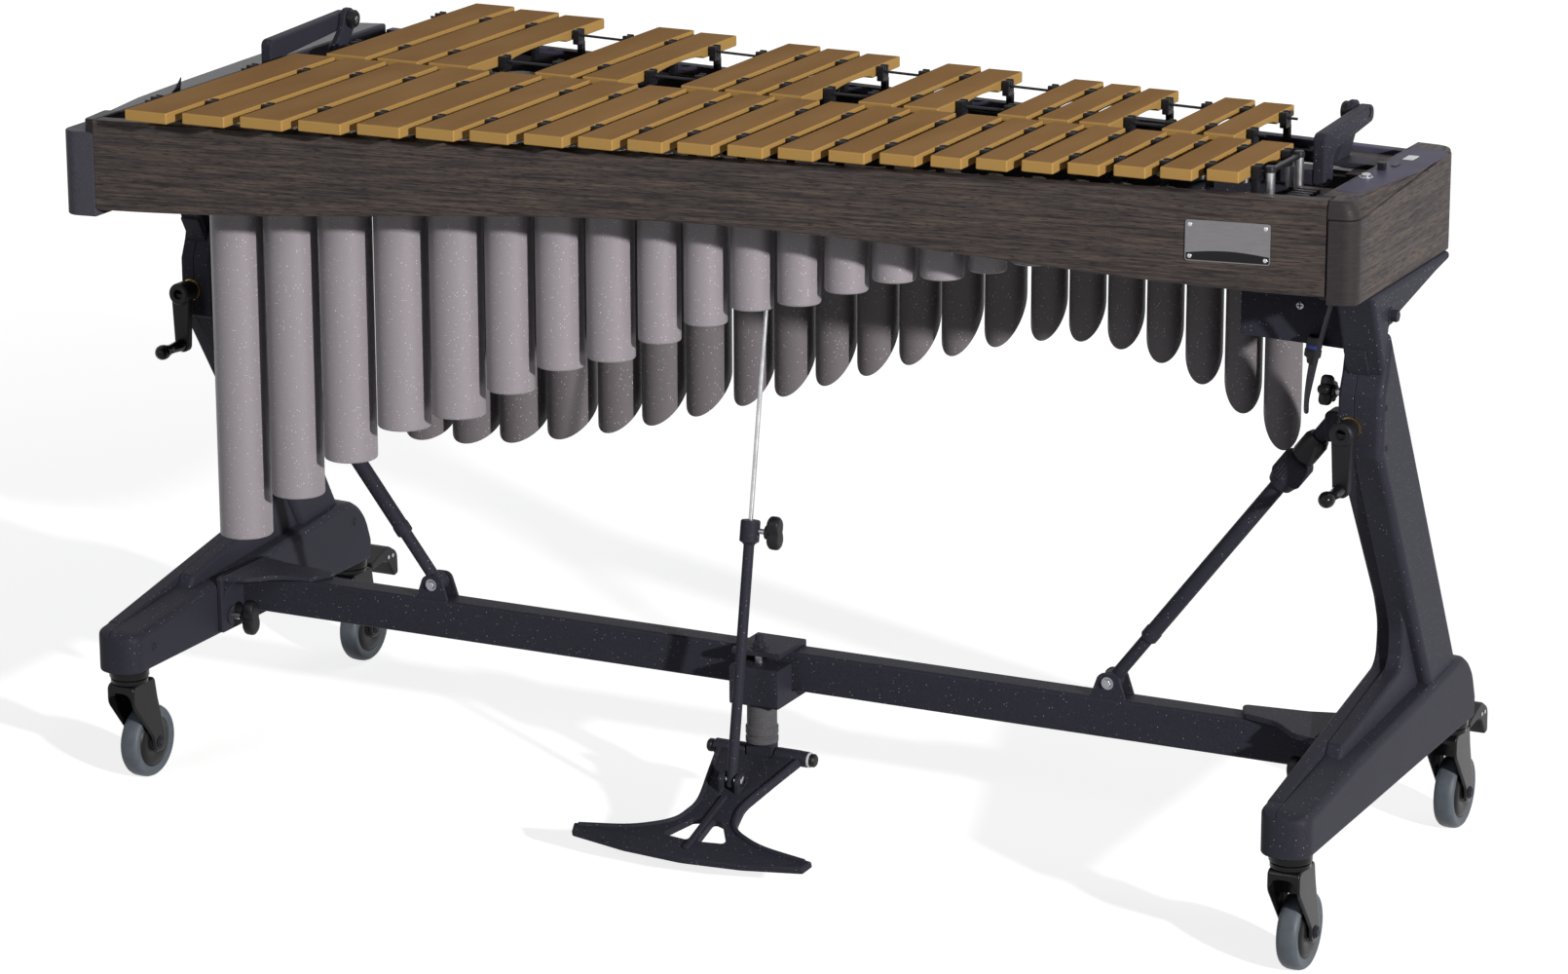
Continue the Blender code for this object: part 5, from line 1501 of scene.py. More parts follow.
headShape = dict(
    side=(
        (-0.078, 0.6917, 0.002), (-0.0368, 0.6004, 0.0006), (-0.0245, 0.6486, 0.0006), (0.0128, 0.6585, 0.01),
        (0.12, 0.6775, 0.03), (0.16, 0.683, 0.005), (0.16, 0.6917, 0.002),
    ),
    inner=0.023,
    lowOut=0.005,
    highIn=0.0025,
    tenon=(-0.245, 0.05),
    bolt=(-0.023, 0.662),
    wing=(-0.022, -0.017),
    wingEnd=0.561,
    wingLow=(0.624, 0.62),
    wingScrews=((0.627, 0.662), (0.59, 0.676)),
    ledge=(-0.055, 0.15, 0.008),
)
for side, place in sides:
    s, leg = headShape, legShape
    shift = 0 if side > 0 else legShift
    under = wood["low"] - wood["blockDrop"] - gap
    inner = leg["x"] - s["inner"]
    outer = leg["highOuter"] - s["highIn"] if side > 0 else leg["x"] + s["lowOut"]
    gusset = slab(s["side"], "yz", inner, outer, 0.004, 0.005, 5, 4)
    parts = made(coat, gusset, leanBar(*s["tenon"], *leg["tenon"], 0.0015))
    parts += hexBolt((outer, *s["bolt"]), (1, 0, 0), 0.0066, 0.0085, coat)
    moved(parts, shift)
    root = (inner if side > 0 else -(outer + shift)) + 0.006
    end, (endLow, rootLow) = s["wingEnd"], s["wingLow"]
    wing = [(end, under, 0.0), (end, endLow, 0.003), (root, rootLow, 0.0), (root, under, 0.0)]
    wingParts = made(coat, slab(wing, "xz", *s["wing"], 0.0012, 0.0012, 6, 3))
    for x, z in s["wingScrews"]:
        wingParts += screwHead((x, s["wing"][0], z), (0, -1, 0), 0.0046, 0.002, zinc)
    parts += mirrored(wingParts, side)
    if side < 0:
        near, far, thick = s["ledge"]
        parts += made(coat, brick((-root, near, under - thick), (lowWall, far, under), 0.0015, 2))
    fit(f"legHead.{place}", parts, f"leg_head_{place}")
print("legs cast")

# cranks and clamping knobs

crankShape = dict(
    x=legShape["x"] - 0.013,
    z=0.543,
    front=-0.0453,
    hub=(
        (0, 0.02), (0.0052, 0.02), (0.006, 0.0296), (0.0068, 0.03), (0.0108, 0.03), (0.0126, 0.0286),
        (0.013, 0.027), (0.013, 0.0125), (0.0115, 0.0115), (0.0115, 0.002), (0, 0.002),
    ),
    washer=(0.0125, 0.0002, 0.0026),
    arm=(
        (-0.0086, -0.069, 0.008), (0.0086, -0.069, 0.008),
        (0.0122, 0.0005, 0.002), (-0.0122, 0.0005, 0.002),
    ),
    blade=(-0.026, -0.016),
    gripAt=(-0.02, -0.06),
    grip=(
        (0, 0.0545), (0.0032, 0.054), (0.0062, 0.0522), (0.0082, 0.049), (0.0088, 0.045), (0.0082, 0.041),
        (0.0066, 0.036), (0.0058, 0.03), (0.0058, 0.024), (0.0066, 0.015), (0.0072, 0.008),
        (0.006, 0.006), (0, 0.006),
    ),
)
knobShape = dict(
    thick=0.014,
    face=(
        (0.6, 0), (0.86, 0.0006), (0.97, 0.0024), (1, 0.0046),
        (1, 0.0094), (0.97, 0.0116), (0.86, 0.0134), (0.6, 0.014),
    ),
    height=dict(y=-0.02, z=0.574, long=0.027, radius=0.0168, lobes=5, washer=0.0082),
    saddle=dict(y=-0.056, z=0.16, long=0.032, radius=0.021, lobes=2, washer=0.0115),
    shank=0.0045,
)
beamEnd = legShape["inner"] - 0.0066


def crank(s):
    x, z, front = s["x"], s["z"], s["front"]
    axis = ((x, front, z), (x, front - 1, z))
    arm = [(x + a, z + b, r) for a, b, r in s["arm"]]
    blade = slab(arm, "xz", *[front + y for y in s["blade"]], 0.002, 0.002, 5, 4)
    gripY, gripZ = front + s["gripAt"][0], z + s["gripAt"][1]
    handle = spin(s["grip"], (x, gripY, gripZ), (x, gripY - 1, gripZ), 28)
    parts = made(blackPlastic, spin(s["hub"], *axis, 32)) + made(brass, disc(*s["washer"], *axis, 32))
    return parts + made(blackPlastic, blade) + made(glossBlack, handle)


def lobedKnob(start, end, radius, lobes, shank, washer=0.0):
    start, way = Vector(start), Vector(end) - Vector(start)
    place = facing(start, way)
    base = way.length - knobShape["thick"]
    deep, count = (0.2, lobes * 16) if lobes > 2 else (0.3, 64)
    rise = place.to_3x3().transposed() @ Vector((0, 0, 1))
    upright = math.atan2(rise.y, rise.x)
    rings = []
    for scale, height in knobShape["face"]:
        ring = []
        for turn in turns(count):
            wave = math.cos(lobes * (turn - upright))
            size = radius * scale * ((1 - deep) + deep * wave)
            ring.append((size * math.cos(turn), size * math.sin(turn), base + height))
        rings.append(ring)
    low, high = base - 0.003, base + 0.002
    hub = spin(((0, low), (radius * 0.42, low), (radius * 0.46, high), (0, high)), start, end, 24)
    stem = roundRod(start, start + way * (base / way.length), shank, 20, 0.0004)
    parts = made(blackPlastic, placed(loft(rings), place), hub) + made(zinc, stem)
    if washer:
        parts += made(coat, disc(washer, 0.0001, 0.0016, start, end, 28))
    return parts


def sideKnob(s, side, face):
    ends = ((side * x, s["y"], s["z"]) for x in (face, face - s["long"]))
    return lobedKnob(*ends, s["radius"], s["lobes"], knobShape["shank"], s["washer"])


def postFace(side):
    # the side of the post that looks to the middle
    return (legShape["inner"] if side > 0 else -(legShape["outer"] + legShift)) - gap


for side, place in sides:
    fit(f"crankHandle.{place}", moved(crank(crankShape), 0 if side > 0 else legShift), f"crank_{place}")
    fit(f"heightKnob.{place}", sideKnob(knobShape["height"], side, postFace(side)), f"height_knob_{place}")
    fit(f"saddleKnob.{place}", sideKnob(knobShape["saddle"], side, beamEnd), f"saddle_knob_{place}")

# cross beam, saddles and braces

beamShape = dict(
    y=-0.014,
    deep=0.032,
    low=0.16,
    top=0.205,
    edge=0.004,
    foot=(0.42, 0.222),
    head=(0.664, 0.54),
    plate=0.006,
    skirt=0.026,
    earAway=0.012,
    earHalf=0.002,
)
braceShape = dict(
    thin=(0.0072, 0.075),
    tube=(0.009, 0.07),
    collar=((0, 0.066), (0.0084, 0.066), (0.0098, 0.068), (0.0098, 0.078), (0.009, 0.08), (0, 0.08)),
    eye=((0, 0), (0.0098, 0), (0.011, 0.0012), (0.011, 0.0178), (0.0098, 0.019), (0, 0.019)),
    cup=((0, 0.056), (0.0125, 0.056), (0.014, 0.05), (0.014, 0.03), (0.0115, 0.024), (0, 0.022)),
    nutAt=0.095,
    nutRib=0.0004,
    nut=(
        (0.0093, 0.04, 0), (0.0136, 0.04, 0), (0.016, 0.0382, 0), (0.0176, 0.035, 1), (0.0176, 0.011, 1),
        (0.016, 0.0076, 0), (0.014, 0.001, 0), (0.0134, 0, 0), (0.0093, 0, 0),
    ),
)
beamNear, beamFar = beamShape["y"] - beamShape["deep"] / 2, beamShape["y"] + beamShape["deep"] / 2
braceFoot, braceHead = (Vector((beamShape[k][0], beamShape["y"], beamShape[k][1])) for k in ("foot", "head"))
braceWay, braceLong = (braceHead - braceFoot).normalized(), (braceHead - braceFoot).length


def crossBeam(s):
    section = rect(beamNear, s["low"], beamFar, s["top"], s["edge"])
    parts = made(coat, prism(filleted(section, 5), "yz", -beamEnd, beamEnd))
    base, half = s["top"] - 0.002, s["earHalf"]
    for side in (-1, 1):
        x, z = side * s["foot"][0], s["foot"][1]
        ear = [(x - 0.021, base, 0.0), (x + 0.021, base, 0.0)]
        ear += [(x + 0.011, z + 0.0105, 0.01), (x - 0.011, z + 0.0105, 0.01)]
        for y in (s["y"] - s["earAway"], s["y"] + s["earAway"]):
            parts += made(coat, slab(ear, "xz", y - half, y + half, 0.0006, 0.0006, 6, 2))
        for way, tall in ((-1, 0.0042), (1, 0.0046)):
            parts += hexBolt((x, s["y"] + way * (s["earAway"] + half), z), (0, way, 0), 0.0052, tall, zinc)
    return parts


def saddle(s, side):
    near, far = beamNear, beamFar
    inner, high = legShape["inner"] - gap, s["top"] + s["plate"]
    wallPlan = rect(near - 0.048, 0.143, far + 0.02, high, 0.004, 0.006)
    wall = slab(wallPlan, "yz", inner - s["plate"], inner, 0.0015, 0.0006, 4, 3)
    plan = [(inner, near - 0.048, 0.0), (inner, far + 0.02, 0.0), (inner - 0.04, far + 0.008, 0.03)]
    plan += [(inner - 0.115, far, 0.006), (inner - 0.1, near, 0.006)]
    plan += [(inner - 0.06, near - 0.01, 0.04), (inner - 0.03, near - 0.04, 0.03)]
    top = slab(plan, "xy", s["top"] + gap, high, 0.0004, 0.0022, 6, 3)
    # curved skirt from the top flange down to the wall
    lip = [(inner - 0.004, high - 0.0035)]
    for k in range(9):
        turn = math.pi / 2 * k / 8
        out = s["skirt"] * (1 - math.sin(turn))
        lip.append((inner - s["plate"] - out + 0.0005, high - 0.0035 - s["skirt"] * (1 - math.cos(turn))))
    skirt = prism(lip, "xz", near - 0.042, near - 0.0004, 0.0006, 2)
    return mirrored(made(coat, wall, top, skirt), side)


def brace(s, side):
    y, (left, middle) = beamShape["y"], (braceHead.x - 0.006, braceHead.z)
    thin = roundRod(braceFoot, braceFoot + braceWay * s["thin"][1], s["thin"][0], 28)
    collar = spin(s["collar"], braceFoot, braceHead, 28)
    tube = roundRod(braceFoot + braceWay * s["tube"][1], braceHead, s["tube"][0], 28)
    eye = spin(s["eye"], braceFoot - Vector((0, 0.0095, 0)), braceFoot + Vector((0, 1, 0)), 28)
    stop, low, high = postFace(side), middle - 0.02, middle + 0.0135
    plan = [(left, low, 0.005), (stop, low, 0.001), (stop, high, 0.001), (left, high, 0.007)]
    head = slab(plan, "xz", y - 0.012, y + 0.012, 0.002, 0.002, 5, 3)
    cup = spin([(radius, braceLong - height) for radius, height in s["cup"]], braceFoot, braceHead, 32)
    return mirrored(made(coat, thin, collar, tube, eye, head) + made(blackPlastic, cup), side)


def braceNut(s, side):
    rings = []
    for size, height, ribs in s["nut"]:
        ring = []
        for k, turn in enumerate(turns(60)):
            radius = size + ribs * s["nutRib"] * (1 if k % 2 else -1)
            ring.append((radius * math.cos(turn), radius * math.sin(turn), height))
        rings.append(ring)
    nut = placed(loft(rings, True), facing(braceFoot + braceWay * (braceLong - s["nutAt"]), braceWay))
    return mirrored(made(coat, nut), side)


fit("crossBeam", crossBeam(beamShape), "cross_beam")
for side, place in sides:
    fit(f"beamSaddle.{place}", saddle(beamShape, side), f"beam_saddle_{place}")
    fit(f"braceRod.{place}", brace(braceShape, side), f"brace_{place}")
    fit(f"braceNut.{place}", braceNut(braceShape, side), f"brace_nut_{place}", crease=20)
print("stand joined")

# pedal: a cast T with a crescent blade, on a column clamped to the beam

pedalShape = dict(
    x=0.012,
    hinge=(-0.045, 0.088),
    tilt=17,
    thick=0.008,
    pin=0.004,
    rod=(0.075, 0.014),
    half=(
        (0.052, 0.012, 0.008), (0.052, -0.012, 0.006), (0.042, -0.05, 0.04), (0.029, -0.105, 0.05),
        (0.036, -0.145, 0.028), (0.082, -0.17, 0.06), (0.146, -0.18, 0.002), (0.141, -0.196, 0.0025),
        (0.072, -0.2075, 0.08),
    ),
    tip=(0, -0.212, 0.1),
    window=((0.0055, -0.136), (0.0055, -0.179), (0.04, -0.1755), (0.0185, -0.1405)),
    knuckle=(
        (0.0046, 0), (0.0082, 0), (0.009, 0.0008), (0.009, 0.0392),
        (0.0082, 0.04), (0.0046, 0.04), (0.0046, 0),
    ),
    rim=(
        (0.049, -0.01), (0.0395, -0.05), (0.0268, -0.104), (0.0295, -0.13),
        (0.037, -0.147), (0.056, -0.161), (0.086, -0.1735), (0.138, -0.1835),
    ),
    ear=((-0.088, 0.0, 0.0), (-0.062, 0.0, 0.0), (-0.0665, 0.0225, 0.0075), (-0.0835, 0.0225, 0.0075)),
    earAt=0.01,
    earHalf=0.0025,
    treads=9,
)
pedalPlace = Matrix.Translation((pedalShape["x"], *pedalShape["hinge"]))
pedalPlace = pedalPlace @ Matrix.Rotation(math.radians(pedalShape["tilt"]), 4, "X")


def pedal(s):
    outline = [(-u, v, r) for u, v, r in s["half"]] + [s["tip"]] + list(reversed(s["half"]))
    top = s["thick"] / 2
    plate = slab(outline, "xy", -top, top, 0.0015, 0.003, 5, 4)
    for side in (-1, 1):
        window = filleted([(side * u, v, 0.004) for u, v in s["window"]], 4)
        plate = carved(plate, prism(window, "xy", -0.02, 0.02))
    plate = carved(plate, brick((-0.018, -0.013, -0.03), (0.018, 0.03, 0.03)))
    parts = made(coat, plate)
    # knuckles, raised rim, ears for the rod and a rib down the middle
    for side in (-1, 1):
        knuckle = spin(s["knuckle"], (side * 0.018, 0, 0), (side, 0, 0), 28)
        rim = sweep(smoothLine([(side * u, v, top) for u, v in s["rim"]], 6), 0.003, 10)
        at = side * s["earAt"]
        ear = slab(s["ear"], "yz", at - s["earHalf"], at + s["earHalf"], 0.0008, 0.0008, 5, 2)
        ends = ((x, -s["rod"][0], s["rod"][1]) for x in (at - 0.01, at + 0.01))
        parts += made(coat, knuckle, rim, carved(ear, roundRod(*ends, s["pin"] + 2 * gap, 20)))
    rib = rect(-0.0035, -0.196, 0.0035, -0.094, 0.002)
    parts += made(coat, slab(rib, "xy", 0.002, 0.0075, 0.0005, 0.002, 3, 3))
    # ribbed tread along the blade
    for k in range(s["treads"]):
        v = 0.186 + 0.0022 * k
        reach = 0.128 - 0.0000045 * (k * 12) ** 2 - (0.05 if k > 7 else 0.0)
        across = [reach * (t / 12 - 1) for t in range(25)]
        arc = [(u, -(v + 0.0045 * (1 - (u / 0.14) ** 2)), 0.004) for u in across]
        parts += made(coat, sweep(arc, 0.0007, 6))
    for bm, _ in parts:
        bm.transform(pedalPlace)
    return parts


fit("footPedal", pedal(pedalShape), "pedal")

mountShape = dict(
    half=0.03,
    pinHalf=0.0615,
    cap=((0, 0.0605), (0.0068, 0.0605), (0.0076, 0.0615), (0.0076, 0.065), (0.006, 0.0668), (0, 0.0672)),
    bush=(0.0043, 0.0088, 0.0584, 0.0602),
    column=(
        (0, 0.102), (0.0175, 0.102), (0.0185, 0.103), (0.0185, 0.1085), (0.0172, 0.1095), (0.0172, 0.1115),
        (0.0185, 0.1125), (0.0185, 0.1205), (0.017, 0.122), (0.017, 0.149), (0, 0.149),
    ),
    boltAt=(-0.004, 0.002),
)


def pedalMount(s):
    x, (y, z) = pedalShape["x"], pedalShape["hinge"]
    hinge = (x, y, z)
    parts = made(zinc, roundRod((x - s["pinHalf"], y, z), (x + s["pinHalf"], y, z), pedalShape["pin"], 24))
    left, right = (spin(s["cap"], hinge, (x + side, y, z), 28) for side in (-1, 1))
    parts += made(blackPlastic, left, right) + made(whiteNylon, hoop(*s["bush"], hinge, (x + 1, y, z), 28))
    tongue = rect(y - 0.0085, z - 0.0085, y + 0.0085, z + 0.017, 0.008, 0.0)
    tongue = slab(tongue, "yz", x - 0.016, x + 0.016, 0.001, 0.001, 5, 2)
    parts += made(coat, tongue) + made(columnCoat, spin(s["column"], (x, y, 0), (x, y, 1), 36))
    low, top, near, far = beamShape["low"], beamShape["top"], beamNear - gap, beamFar + gap
    lip, back, under, over = y - 0.022, far + 0.005, low - 0.012, top + 0.006
    jaw = [(lip, under, 0.003), (back, under, 0.003), (back, over, 0.003), (lip + 0.006, over, 0.002)]
    jaw += [(lip + 0.006, top + gap, 0.0005), (far, top + gap, 0.0005), (far, low - gap, 0.0005)]
    jaw += [(near, low - gap, 0.0005), (near, top - 0.012, 0.002), (lip, top - 0.012, 0.003)]
    parts += made(coat, slab(jaw, "yz", x - s["half"], x + s["half"], 0.001, 0.001, 3, 2))
    boltX, boltY = x + s["boltAt"][0], y + s["boltAt"][1]
    parts += hexBolt((boltX, boltY, over), (0, 0, 1), 0.008, 0.007, coat)
    for first, last, radius, finish in ((0.01, 0.021, 0.0048, coat), (-0.024, 0.002, 0.0052, zinc)):
        parts += made(finish, roundRod((boltX, boltY, top + first), (boltX, boltY, top + last), radius, 24))
    return parts


fit("pedalMount", pedalMount(mountShape), "pedal_mount")

# rod from the pedal to the damper

rodShape = dict(
    top=(-0.004, 0.75),
    pinHalf=0.0122,
    pinHead=((0, 0.0128), (0.006, 0.0128), (0.006, 0.014), (0.0046, 0.015), (0, 0.015)),
    sleeve=(
        (0.0039, 0.1), (0, 0.1), (0, -0.0078), (0.0052, -0.0078), (0.006, -0.0066), (0.006, 0.262),
        (0.0072, 0.264), (0.011, 0.2665), (0.011, 0.2885), (0.01, 0.29), (0.0039, 0.29), (0.0039, 0.1),
    ),
    wire=(0.0026, 0.115),
    knob=(0.279, 0.0113, 0.026, 0.019, 0.003),
)
pinAt = pedalPlace @ Vector((0, -pedalShape["rod"][0], pedalShape["rod"][1]))
rodTop = Vector((pedalShape["x"], *rodShape["top"]))
rodWay = (rodTop - pinAt).normalized()


def fromPin(x):
    return pinAt + Vector((x, 0, 0))


half = rodShape["pinHalf"]
heads = [spin(rodShape["pinHead"], pinAt, fromPin(side), 24) for side in (-1, 1)]
fit("rodPin", made(steel, roundRod(fromPin(-half), fromPin(half), pedalShape["pin"], 24), *heads), "rod_pin")
bore = roundRod(fromPin(-0.02), fromPin(0.02), pedalShape["pin"] + gap, 20)
fit("pedalRod", made(coat, carved(spin(rodShape["sleeve"], pinAt, pinAt + rodWay, 28), bore)), "pedal_rod")
wireRadius, wireFrom = rodShape["wire"]
fit("damperWire", made(steel, roundRod(pinAt + rodWay * wireFrom, rodTop, wireRadius, 24)), "damper_wire")
knobUp, knobOut, knobLong, knobRadius, knobShank = rodShape["knob"]
knobAt = fromPin(knobOut) + rodWay * knobUp
knob = lobedKnob(knobAt, knobAt + Vector((knobLong, 0, 0)), knobRadius, 2, knobShank)
fit("rodKnob", knob, "rod_knob")
print("pedal and rod hung")

# damper: felted bar between the rows, an arm and a hub at each end

damperShape = dict(
    felt=(0.7977, 0.8097),
    bar=(0.7814, 0.7974),
    deep=0.03,
    reach=keyEnd + 0.0221,
    arm=0.014,
    hubZ=0.835,
    hubY=backLine(highWall) - wood["backThick"] - 0.022,
    lug=((0.002, -0.014, 0.756), (0.022, 0.016, 0.7854)),
    web=0.008,
    cap=(
        (0, 0.0075), (0.0105, 0.0075), (0.0105, 0.014), (0.0092, 0.0158),
        (0.006, 0.0164), (0.005, 0.0158), (0, 0.0158),
    ),
)


def splitRun(reach, low, high, deep, rounding, steps):
    section = filleted(rect(-deep / 2, low, deep / 2, high, rounding), 4)
    rings = []
    for k in range(steps + 1):
        x = 2 * reach * k / steps - reach
        rings.append([(x, splitY(x) + keys["rowSpace"] / 2 + a, b) for a, b in section])
    return loft(rings)


def damperArm(s, side):
    inner, (y, z), low = s["reach"] + gap, (s["hubY"], s["hubZ"]), s["bar"][0]
    near, far = splitY(side * s["reach"]) + keys["rowSpace"] / 2 - 0.016, y + 0.015
    corners = [(near, low, 0.004), (near + 0.026, low, 0.004), (near + 0.028, 0.813, 0.014)]
    corners += [(far, z - 0.011, 0.008), (far, z + 0.008, 0.009), (near, 0.836, 0.008)]
    arm = slab(corners, "yz", inner, inner + s["arm"], 0.0025, 0.0025, 6, 4)
    hole = roundRod((inner - 0.01, y, z), (inner + s["arm"] + 0.01, y, z), 0.0053, 24)
    screw = screwHead((inner, near + 0.013, low + 0.016), (-1, 0, 0), 0.0042, 0.0018, zinc)
    return mirrored(made(coat, carved(arm, hole)) + screw, side)


def damperBracket(s, side):
    # stands inside the arm, leaning back up to the hub
    inner, (y, z) = s["reach"] + gap, (s["hubY"], s["hubZ"])
    wall = abs(lowWall if side < 0 else highWall) - gap
    base, root = postShape["railTop"] + 0.004, inner - s["web"]
    web = [(y - 0.058, base, 0.002), (y - 0.02, base, 0.002), (y + 0.011, z - 0.01, 0.01)]
    web += [(y + 0.011, z + 0.0125, 0.011), (y - 0.011, z + 0.0125, 0.011), (y - 0.016, z - 0.008, 0.02)]
    plate = slab(web, "yz", root, inner - 0.0006, 0.0012, 0.0012, 8, 3)
    ledge = brick((root, y - 0.058, base), (wall, y - 0.02, base + 0.005), 0.0012, 2)
    axle = roundRod((inner - 0.006, y, z), (inner + s["arm"] - 0.001, y, z), 0.005, 24)
    cap = spin(s["cap"], (inner, y, z), (inner - 1, y, z), 36)
    bolt = hexBolt((inner - 0.0158, y, z), (-1, 0, 0), 0.003, 0.0016, steel)
    return mirrored(made(coat, plate, ledge, axle) + made(blackPlastic, cap) + bolt, side)


feltPad = splitRun(keyEnd, *damperShape["felt"], damperShape["deep"] - 0.004, 0.003, 80)
fit("damperFeltPad", made(felt, feltPad), "damper_felt")
damperBar = splitRun(damperShape["reach"], *damperShape["bar"], damperShape["deep"], 0.002, 8)
fit("damperBar", made(coat, damperBar, brick(*damperShape["lug"], 0.0016, 3)), "damper_bar")
for side, place in sides:
    fit(f"damperArm.{place}", damperArm(damperShape, side), f"damper_arm_{place}")
    fit(f"damperBracket.{place}", damperBracket(damperShape, side), f"damper_bracket_{place}")
print("damper hung")

# casters

casterShape = dict(
    radius=0.0425,
    clear=0.0442,
    half=0.012,
    middle=0.02,
    away=0.244,
    trail=0.032,
    top=0.1397,
    crown=0.016,
    inside=0.015,
    cheek=0.003,
    axle=0.004,
    bearing=(
        (0, 0.0), (0.015, 0.0), (0.02, 0.0006), (0.0215, 0.0016), (0.0215, 0.006), (0.0195, 0.0068),
        (0.0195, 0.0076), (0.0224, 0.0082), (0.023, 0.0092), (0.023, 0.0164), (0.0222, 0.0174), (0.0, 0.018),
    ),
    tread=((0.03, -0.0022), (0.0372, -0.0004), (0.039, -0.0008), (0.041, -0.003), (0.0422, -0.0062)),
    disc=(
        (0.008, 0.002), (0.0095, 0.0004), (0.011, -0.0016), (0.015, 0.0004), (0.023, 0.0006),
        (0.0275, -0.0006), (0.0292, -0.0026), (0.0302, -0.0024),
    ),
)
leverShape = dict(
    half=0.0175,
    hinge=(0.0303, -0.0025),
    side=(
        (-0.004, -0.003, 0.003), (0.032, 0.001, 0.014), (0.05, -0.025, 0.004), (0.059, -0.023, 0.004),
        (0.058, 0.005, 0.014), (0.036, 0.018, 0.014), (-0.004, 0.005, 0.003),
    ),
    rivets=(0.036, 0.046),
    rivet=((0, 0), (0.0024, 0), (0.0024, 0.0004), (0.0016, 0.001), (0, 0.0012)),
)


def casterFork(s, x, y):
    axleY, axleZ, crown = y + s["trail"], s["radius"], s["top"] - s["crown"]
    wide, inside, clear = s["inside"] + s["cheek"], s["inside"], s["clear"]
    cheek = [(y - 0.021, crown - 0.024, 0.016), (axleY - 0.0135, axleZ + 0.008, 0.016)]
    cheek += [(axleY - 0.012, axleZ - 0.0115, 0.011), (axleY + 0.012, axleZ - 0.0115, 0.011)]
    cheek += [(axleY + 0.0125, axleZ + 0.008, 0.012), (y + 0.031, crown - 0.026, 0.02)]
    cheek += [(y + 0.026, crown, 0.006), (y - 0.021, crown, 0.008)]
    body = slab(cheek, "yz", x - wide, x + wide, 0.003, 0.003, 6, 3)
    # room for the wheel: a round top, open below
    room = [(axleY + clear * math.cos(turn), axleZ + clear * math.sin(turn)) for turn in turns(48)[:25]]
    room += [(axleY - clear, 0.0), (axleY + clear, 0.0)]
    body = carved(body, prism(room, "yz", x - inside, x + inside))
    # open in front under a round arch
    half, peak = inside + 0.0005, crown - 0.01
    arch = rect(x - half, 0.0, x + half, peak, 0.0, half * 0.75)
    body = carved(body, prism(filleted(arch, 8), "xz", y - 0.06, y + 0.02))
    soften(body, 0.0008, 2, 50)
    parts = made(glossBlack, body, spin(s["bearing"], (x, y, s["top"] - 0.018), (x, y, 1), 40))
    for side in (-1, 1):
        parts += hexBolt((x + side * wide, axleY, axleZ), (side, 0, 0), 0.0052, 0.003, coat)
    return parts + made(zinc, roundRod((x - wide, axleY, axleZ), (x + wide, axleY, axleZ), s["axle"], 24))


def casterWheel(s, x, y):
    radius, half = s["radius"], s["half"]
    axis = ((x, y, radius), (x + 1, y, radius))
    tread = [(a, half + b) for a, b in s["tread"]]
    rim = tread + [(radius, 0.0)] + [(a, -b) for a, b in reversed(tread)]
    face = [(s["axle"] + gap, half + 0.0018)] + [(a, half + b) for a, b in s["disc"]]
    hub = face + [(a, -b) for a, b in reversed(face)]
    return made(tyre, spin(rim + rim[:1], *axis, 56)) + made(hubBlack, spin(hub + hub[:1], *axis, 48))


def brakeLever(s, x, y, crown):
    half, hingeY, hingeZ = s["half"], y + s["hinge"][0], crown + s["hinge"][1]
    corners = [(hingeY + a, hingeZ + b, r) for a, b, r in s["side"]]
    parts = made(blackPlastic, slab(corners, "yz", x - half, x + half, 0.002, 0.002, 6, 3))
    for at in s["rivets"]:
        for side in (-1, 1):
            spot = (x + side * half, hingeY + at, hingeZ + 0.003)
            parts += made(steel, spin(s["rivet"], spot, (x + side, *spot[1:]), 16))
    return parts


for side, place in sides:
    for end, where in ((-1, "front"), (1, "rear")):
        s = casterShape
        x, y = side * legShape["x"], s["middle"] + end * s["away"]
        fit(f"casterFork.{where}.{place}", casterFork(s, x, y), f"caster_fork_{where}_{place}")
        wheel = casterWheel(s, x, y + s["trail"])
        fit(f"casterWheel.{where}.{place}", wheel, f"caster_wheel_{where}_{place}")
        if where == "rear":
            lever = brakeLever(leverShape, x, y, s["top"] - s["crown"])
            fit(f"brakeLever.{place}", lever, f"brake_lever_{place}")
print("casters fitted")

# motor on the inner wall of the high end, and the cable looped under the frame

motorShape = dict(
    y=0.036,
    z=wood["low"] + 0.042,
    case=(
        (0, 0), (0.021, 0), (0.022, 0.001), (0.022, 0.034),
        (0.0212, 0.036), (0.018, 0.0396), (0.012, 0.04), (0.0, 0.04),
    ),
    boss=((0, 0.038), (0.008, 0.038), (0.008, 0.045), (0.007, 0.046), (0, 0.046)),
    ribs=10,
    ribRadius=0.0012,
    ribAway=0.0219,
    ribFrom=0.012,
    ribLong=0.016,
)


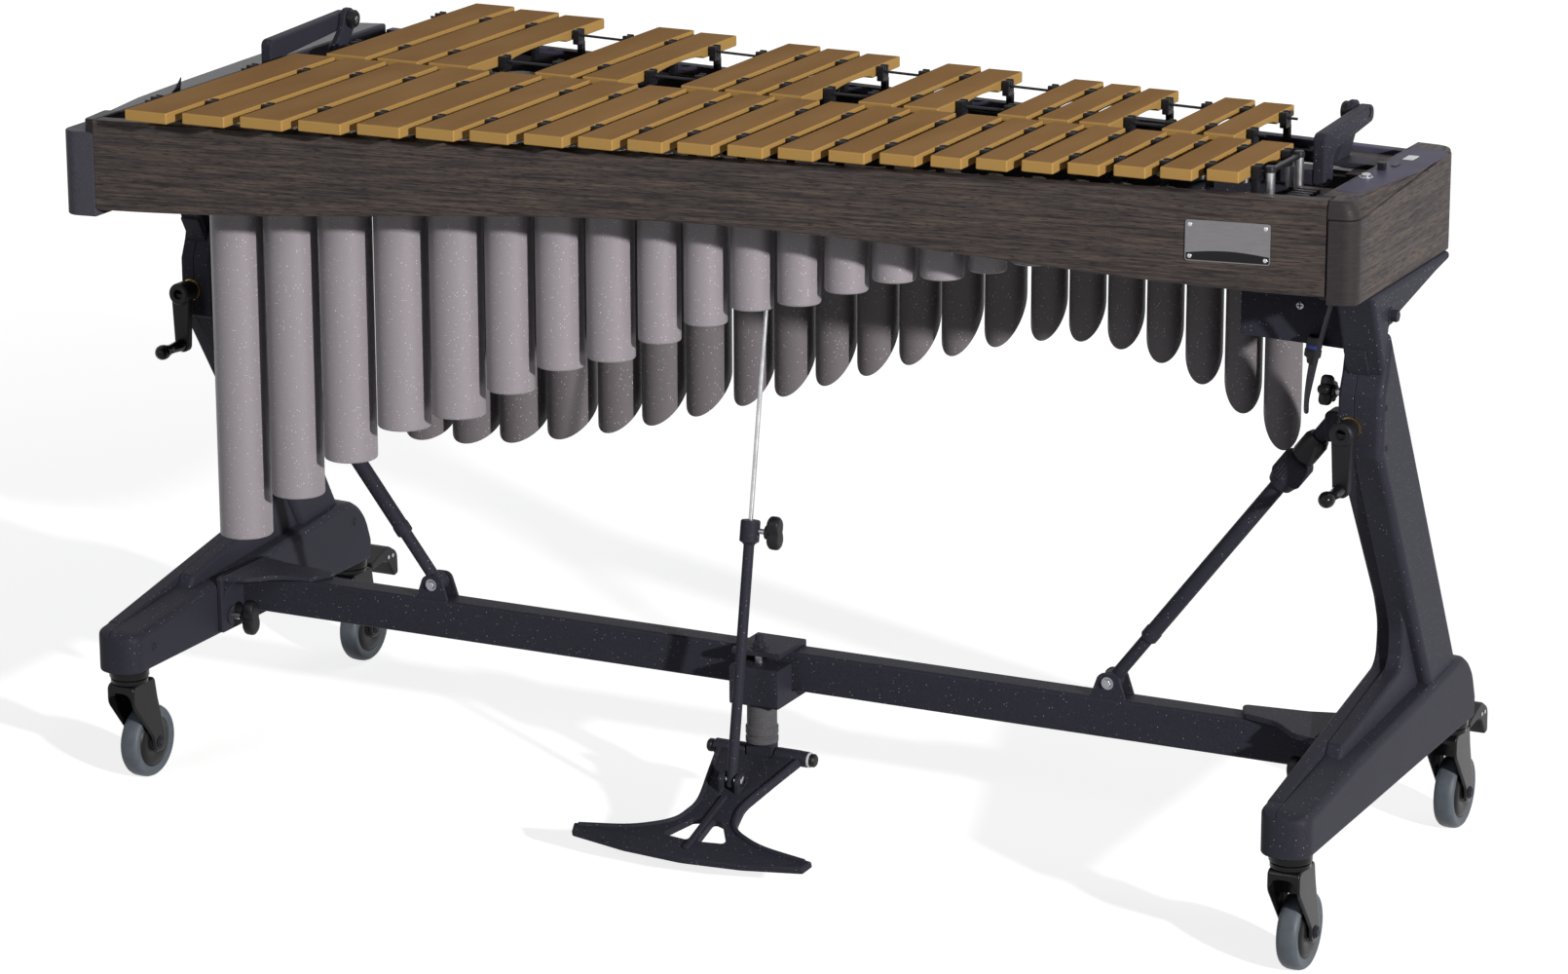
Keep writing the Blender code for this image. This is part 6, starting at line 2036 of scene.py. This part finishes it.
def motor(s):
    wall, y, z = highWall - gap, s["y"], s["z"]
    axis = ((wall, y, z), (wall - 1, y, z))
    parts = made(blackPlastic, spin(s["case"], *axis, 48)) + made(zinc, spin(s["boss"], *axis, 32))
    for turn in turns(s["ribs"]):
        away = Vector((0, s["ribAway"] * math.cos(turn), s["ribAway"] * math.sin(turn)))
        at = Vector((wall - s["ribFrom"], y, z)) + away
        parts += made(railBlack, roundRod(at, at - Vector((s["ribLong"], 0, 0)), s["ribRadius"], 8))
    return parts


fit("fanMotor", motor(motorShape), "fan_motor")

cableRoute = (
    (0.684, -0.085, 0.6917), (0.684, -0.085, 0.685), (0.68, -0.08, 0.675),
    (0.669, -0.065, 0.65), (0.6595, -0.0564, 0.62), (0.6523, -0.0533, 0.59),
    (0.6481, -0.0518, 0.571), (0.6471, -0.05, 0.5594), (0.6459, -0.0468, 0.5562),
    (0.6438, -0.0419, 0.5548), (0.6417, -0.0369, 0.5562), (0.6405, -0.0337, 0.5594),
    (0.6402, -0.0317, 0.571), (0.6416, -0.0309, 0.588), (0.644, -0.0313, 0.604),
)


def cableCurve(route, radius):
    curve = bpy.data.curves.new("motorCable", "CURVE")
    curve.dimensions = "3D"
    curve.bevel_depth = radius
    curve.bevel_resolution = 6
    curve.use_fill_caps = True
    points = smoothLine(route, 2)
    line = curve.splines.new("POLY")
    line.points.add(len(points) - 1)
    for spot, point in zip(line.points, points):
        spot.co = (*point, 1)
    line.use_smooth = True
    curve.materials.append(cableSkin)
    piece = bpy.data.objects.new("motorCable", curve)
    scene.collection.objects.link(piece)
    return piece


cable = cableCurve(cableRoute, 0.0025)
plugShape = dict(
    body=(
        (0, 0.0003), (0.0045, 0.0003), (0.0052, 0.002), (0.006, 0.0062), (0.0086, 0.0078),
        (0.009, 0.009), (0.009, 0.015), (0.0082, 0.016), (0.0082, 0.029), (0.0074, 0.03),
        (0.0064, 0.03), (0.0064, 0.024), (0, 0.024),
    ),
    band=(0.008, 0.0086, 0.018, 0.0215),
)
plugAt = Vector(cableRoute[-1])
plugAxis = (plugAt, plugAt + (plugAt - Vector(cableRoute[-2])).normalized())
plugParts = made(blackPlastic, spin(plugShape["body"], *plugAxis, 32))
plugParts += made(blueRing, hoop(*plugShape["band"], *plugAxis, 32))
plug = fit("cablePlug", plugParts, "cable_plug")
settle(cable, "motor_cable")
length = sum((Vector(a) - Vector(b)).length for a, b in zip(cableRoute, cableRoute[1:]))
print("motor and cable fitted")
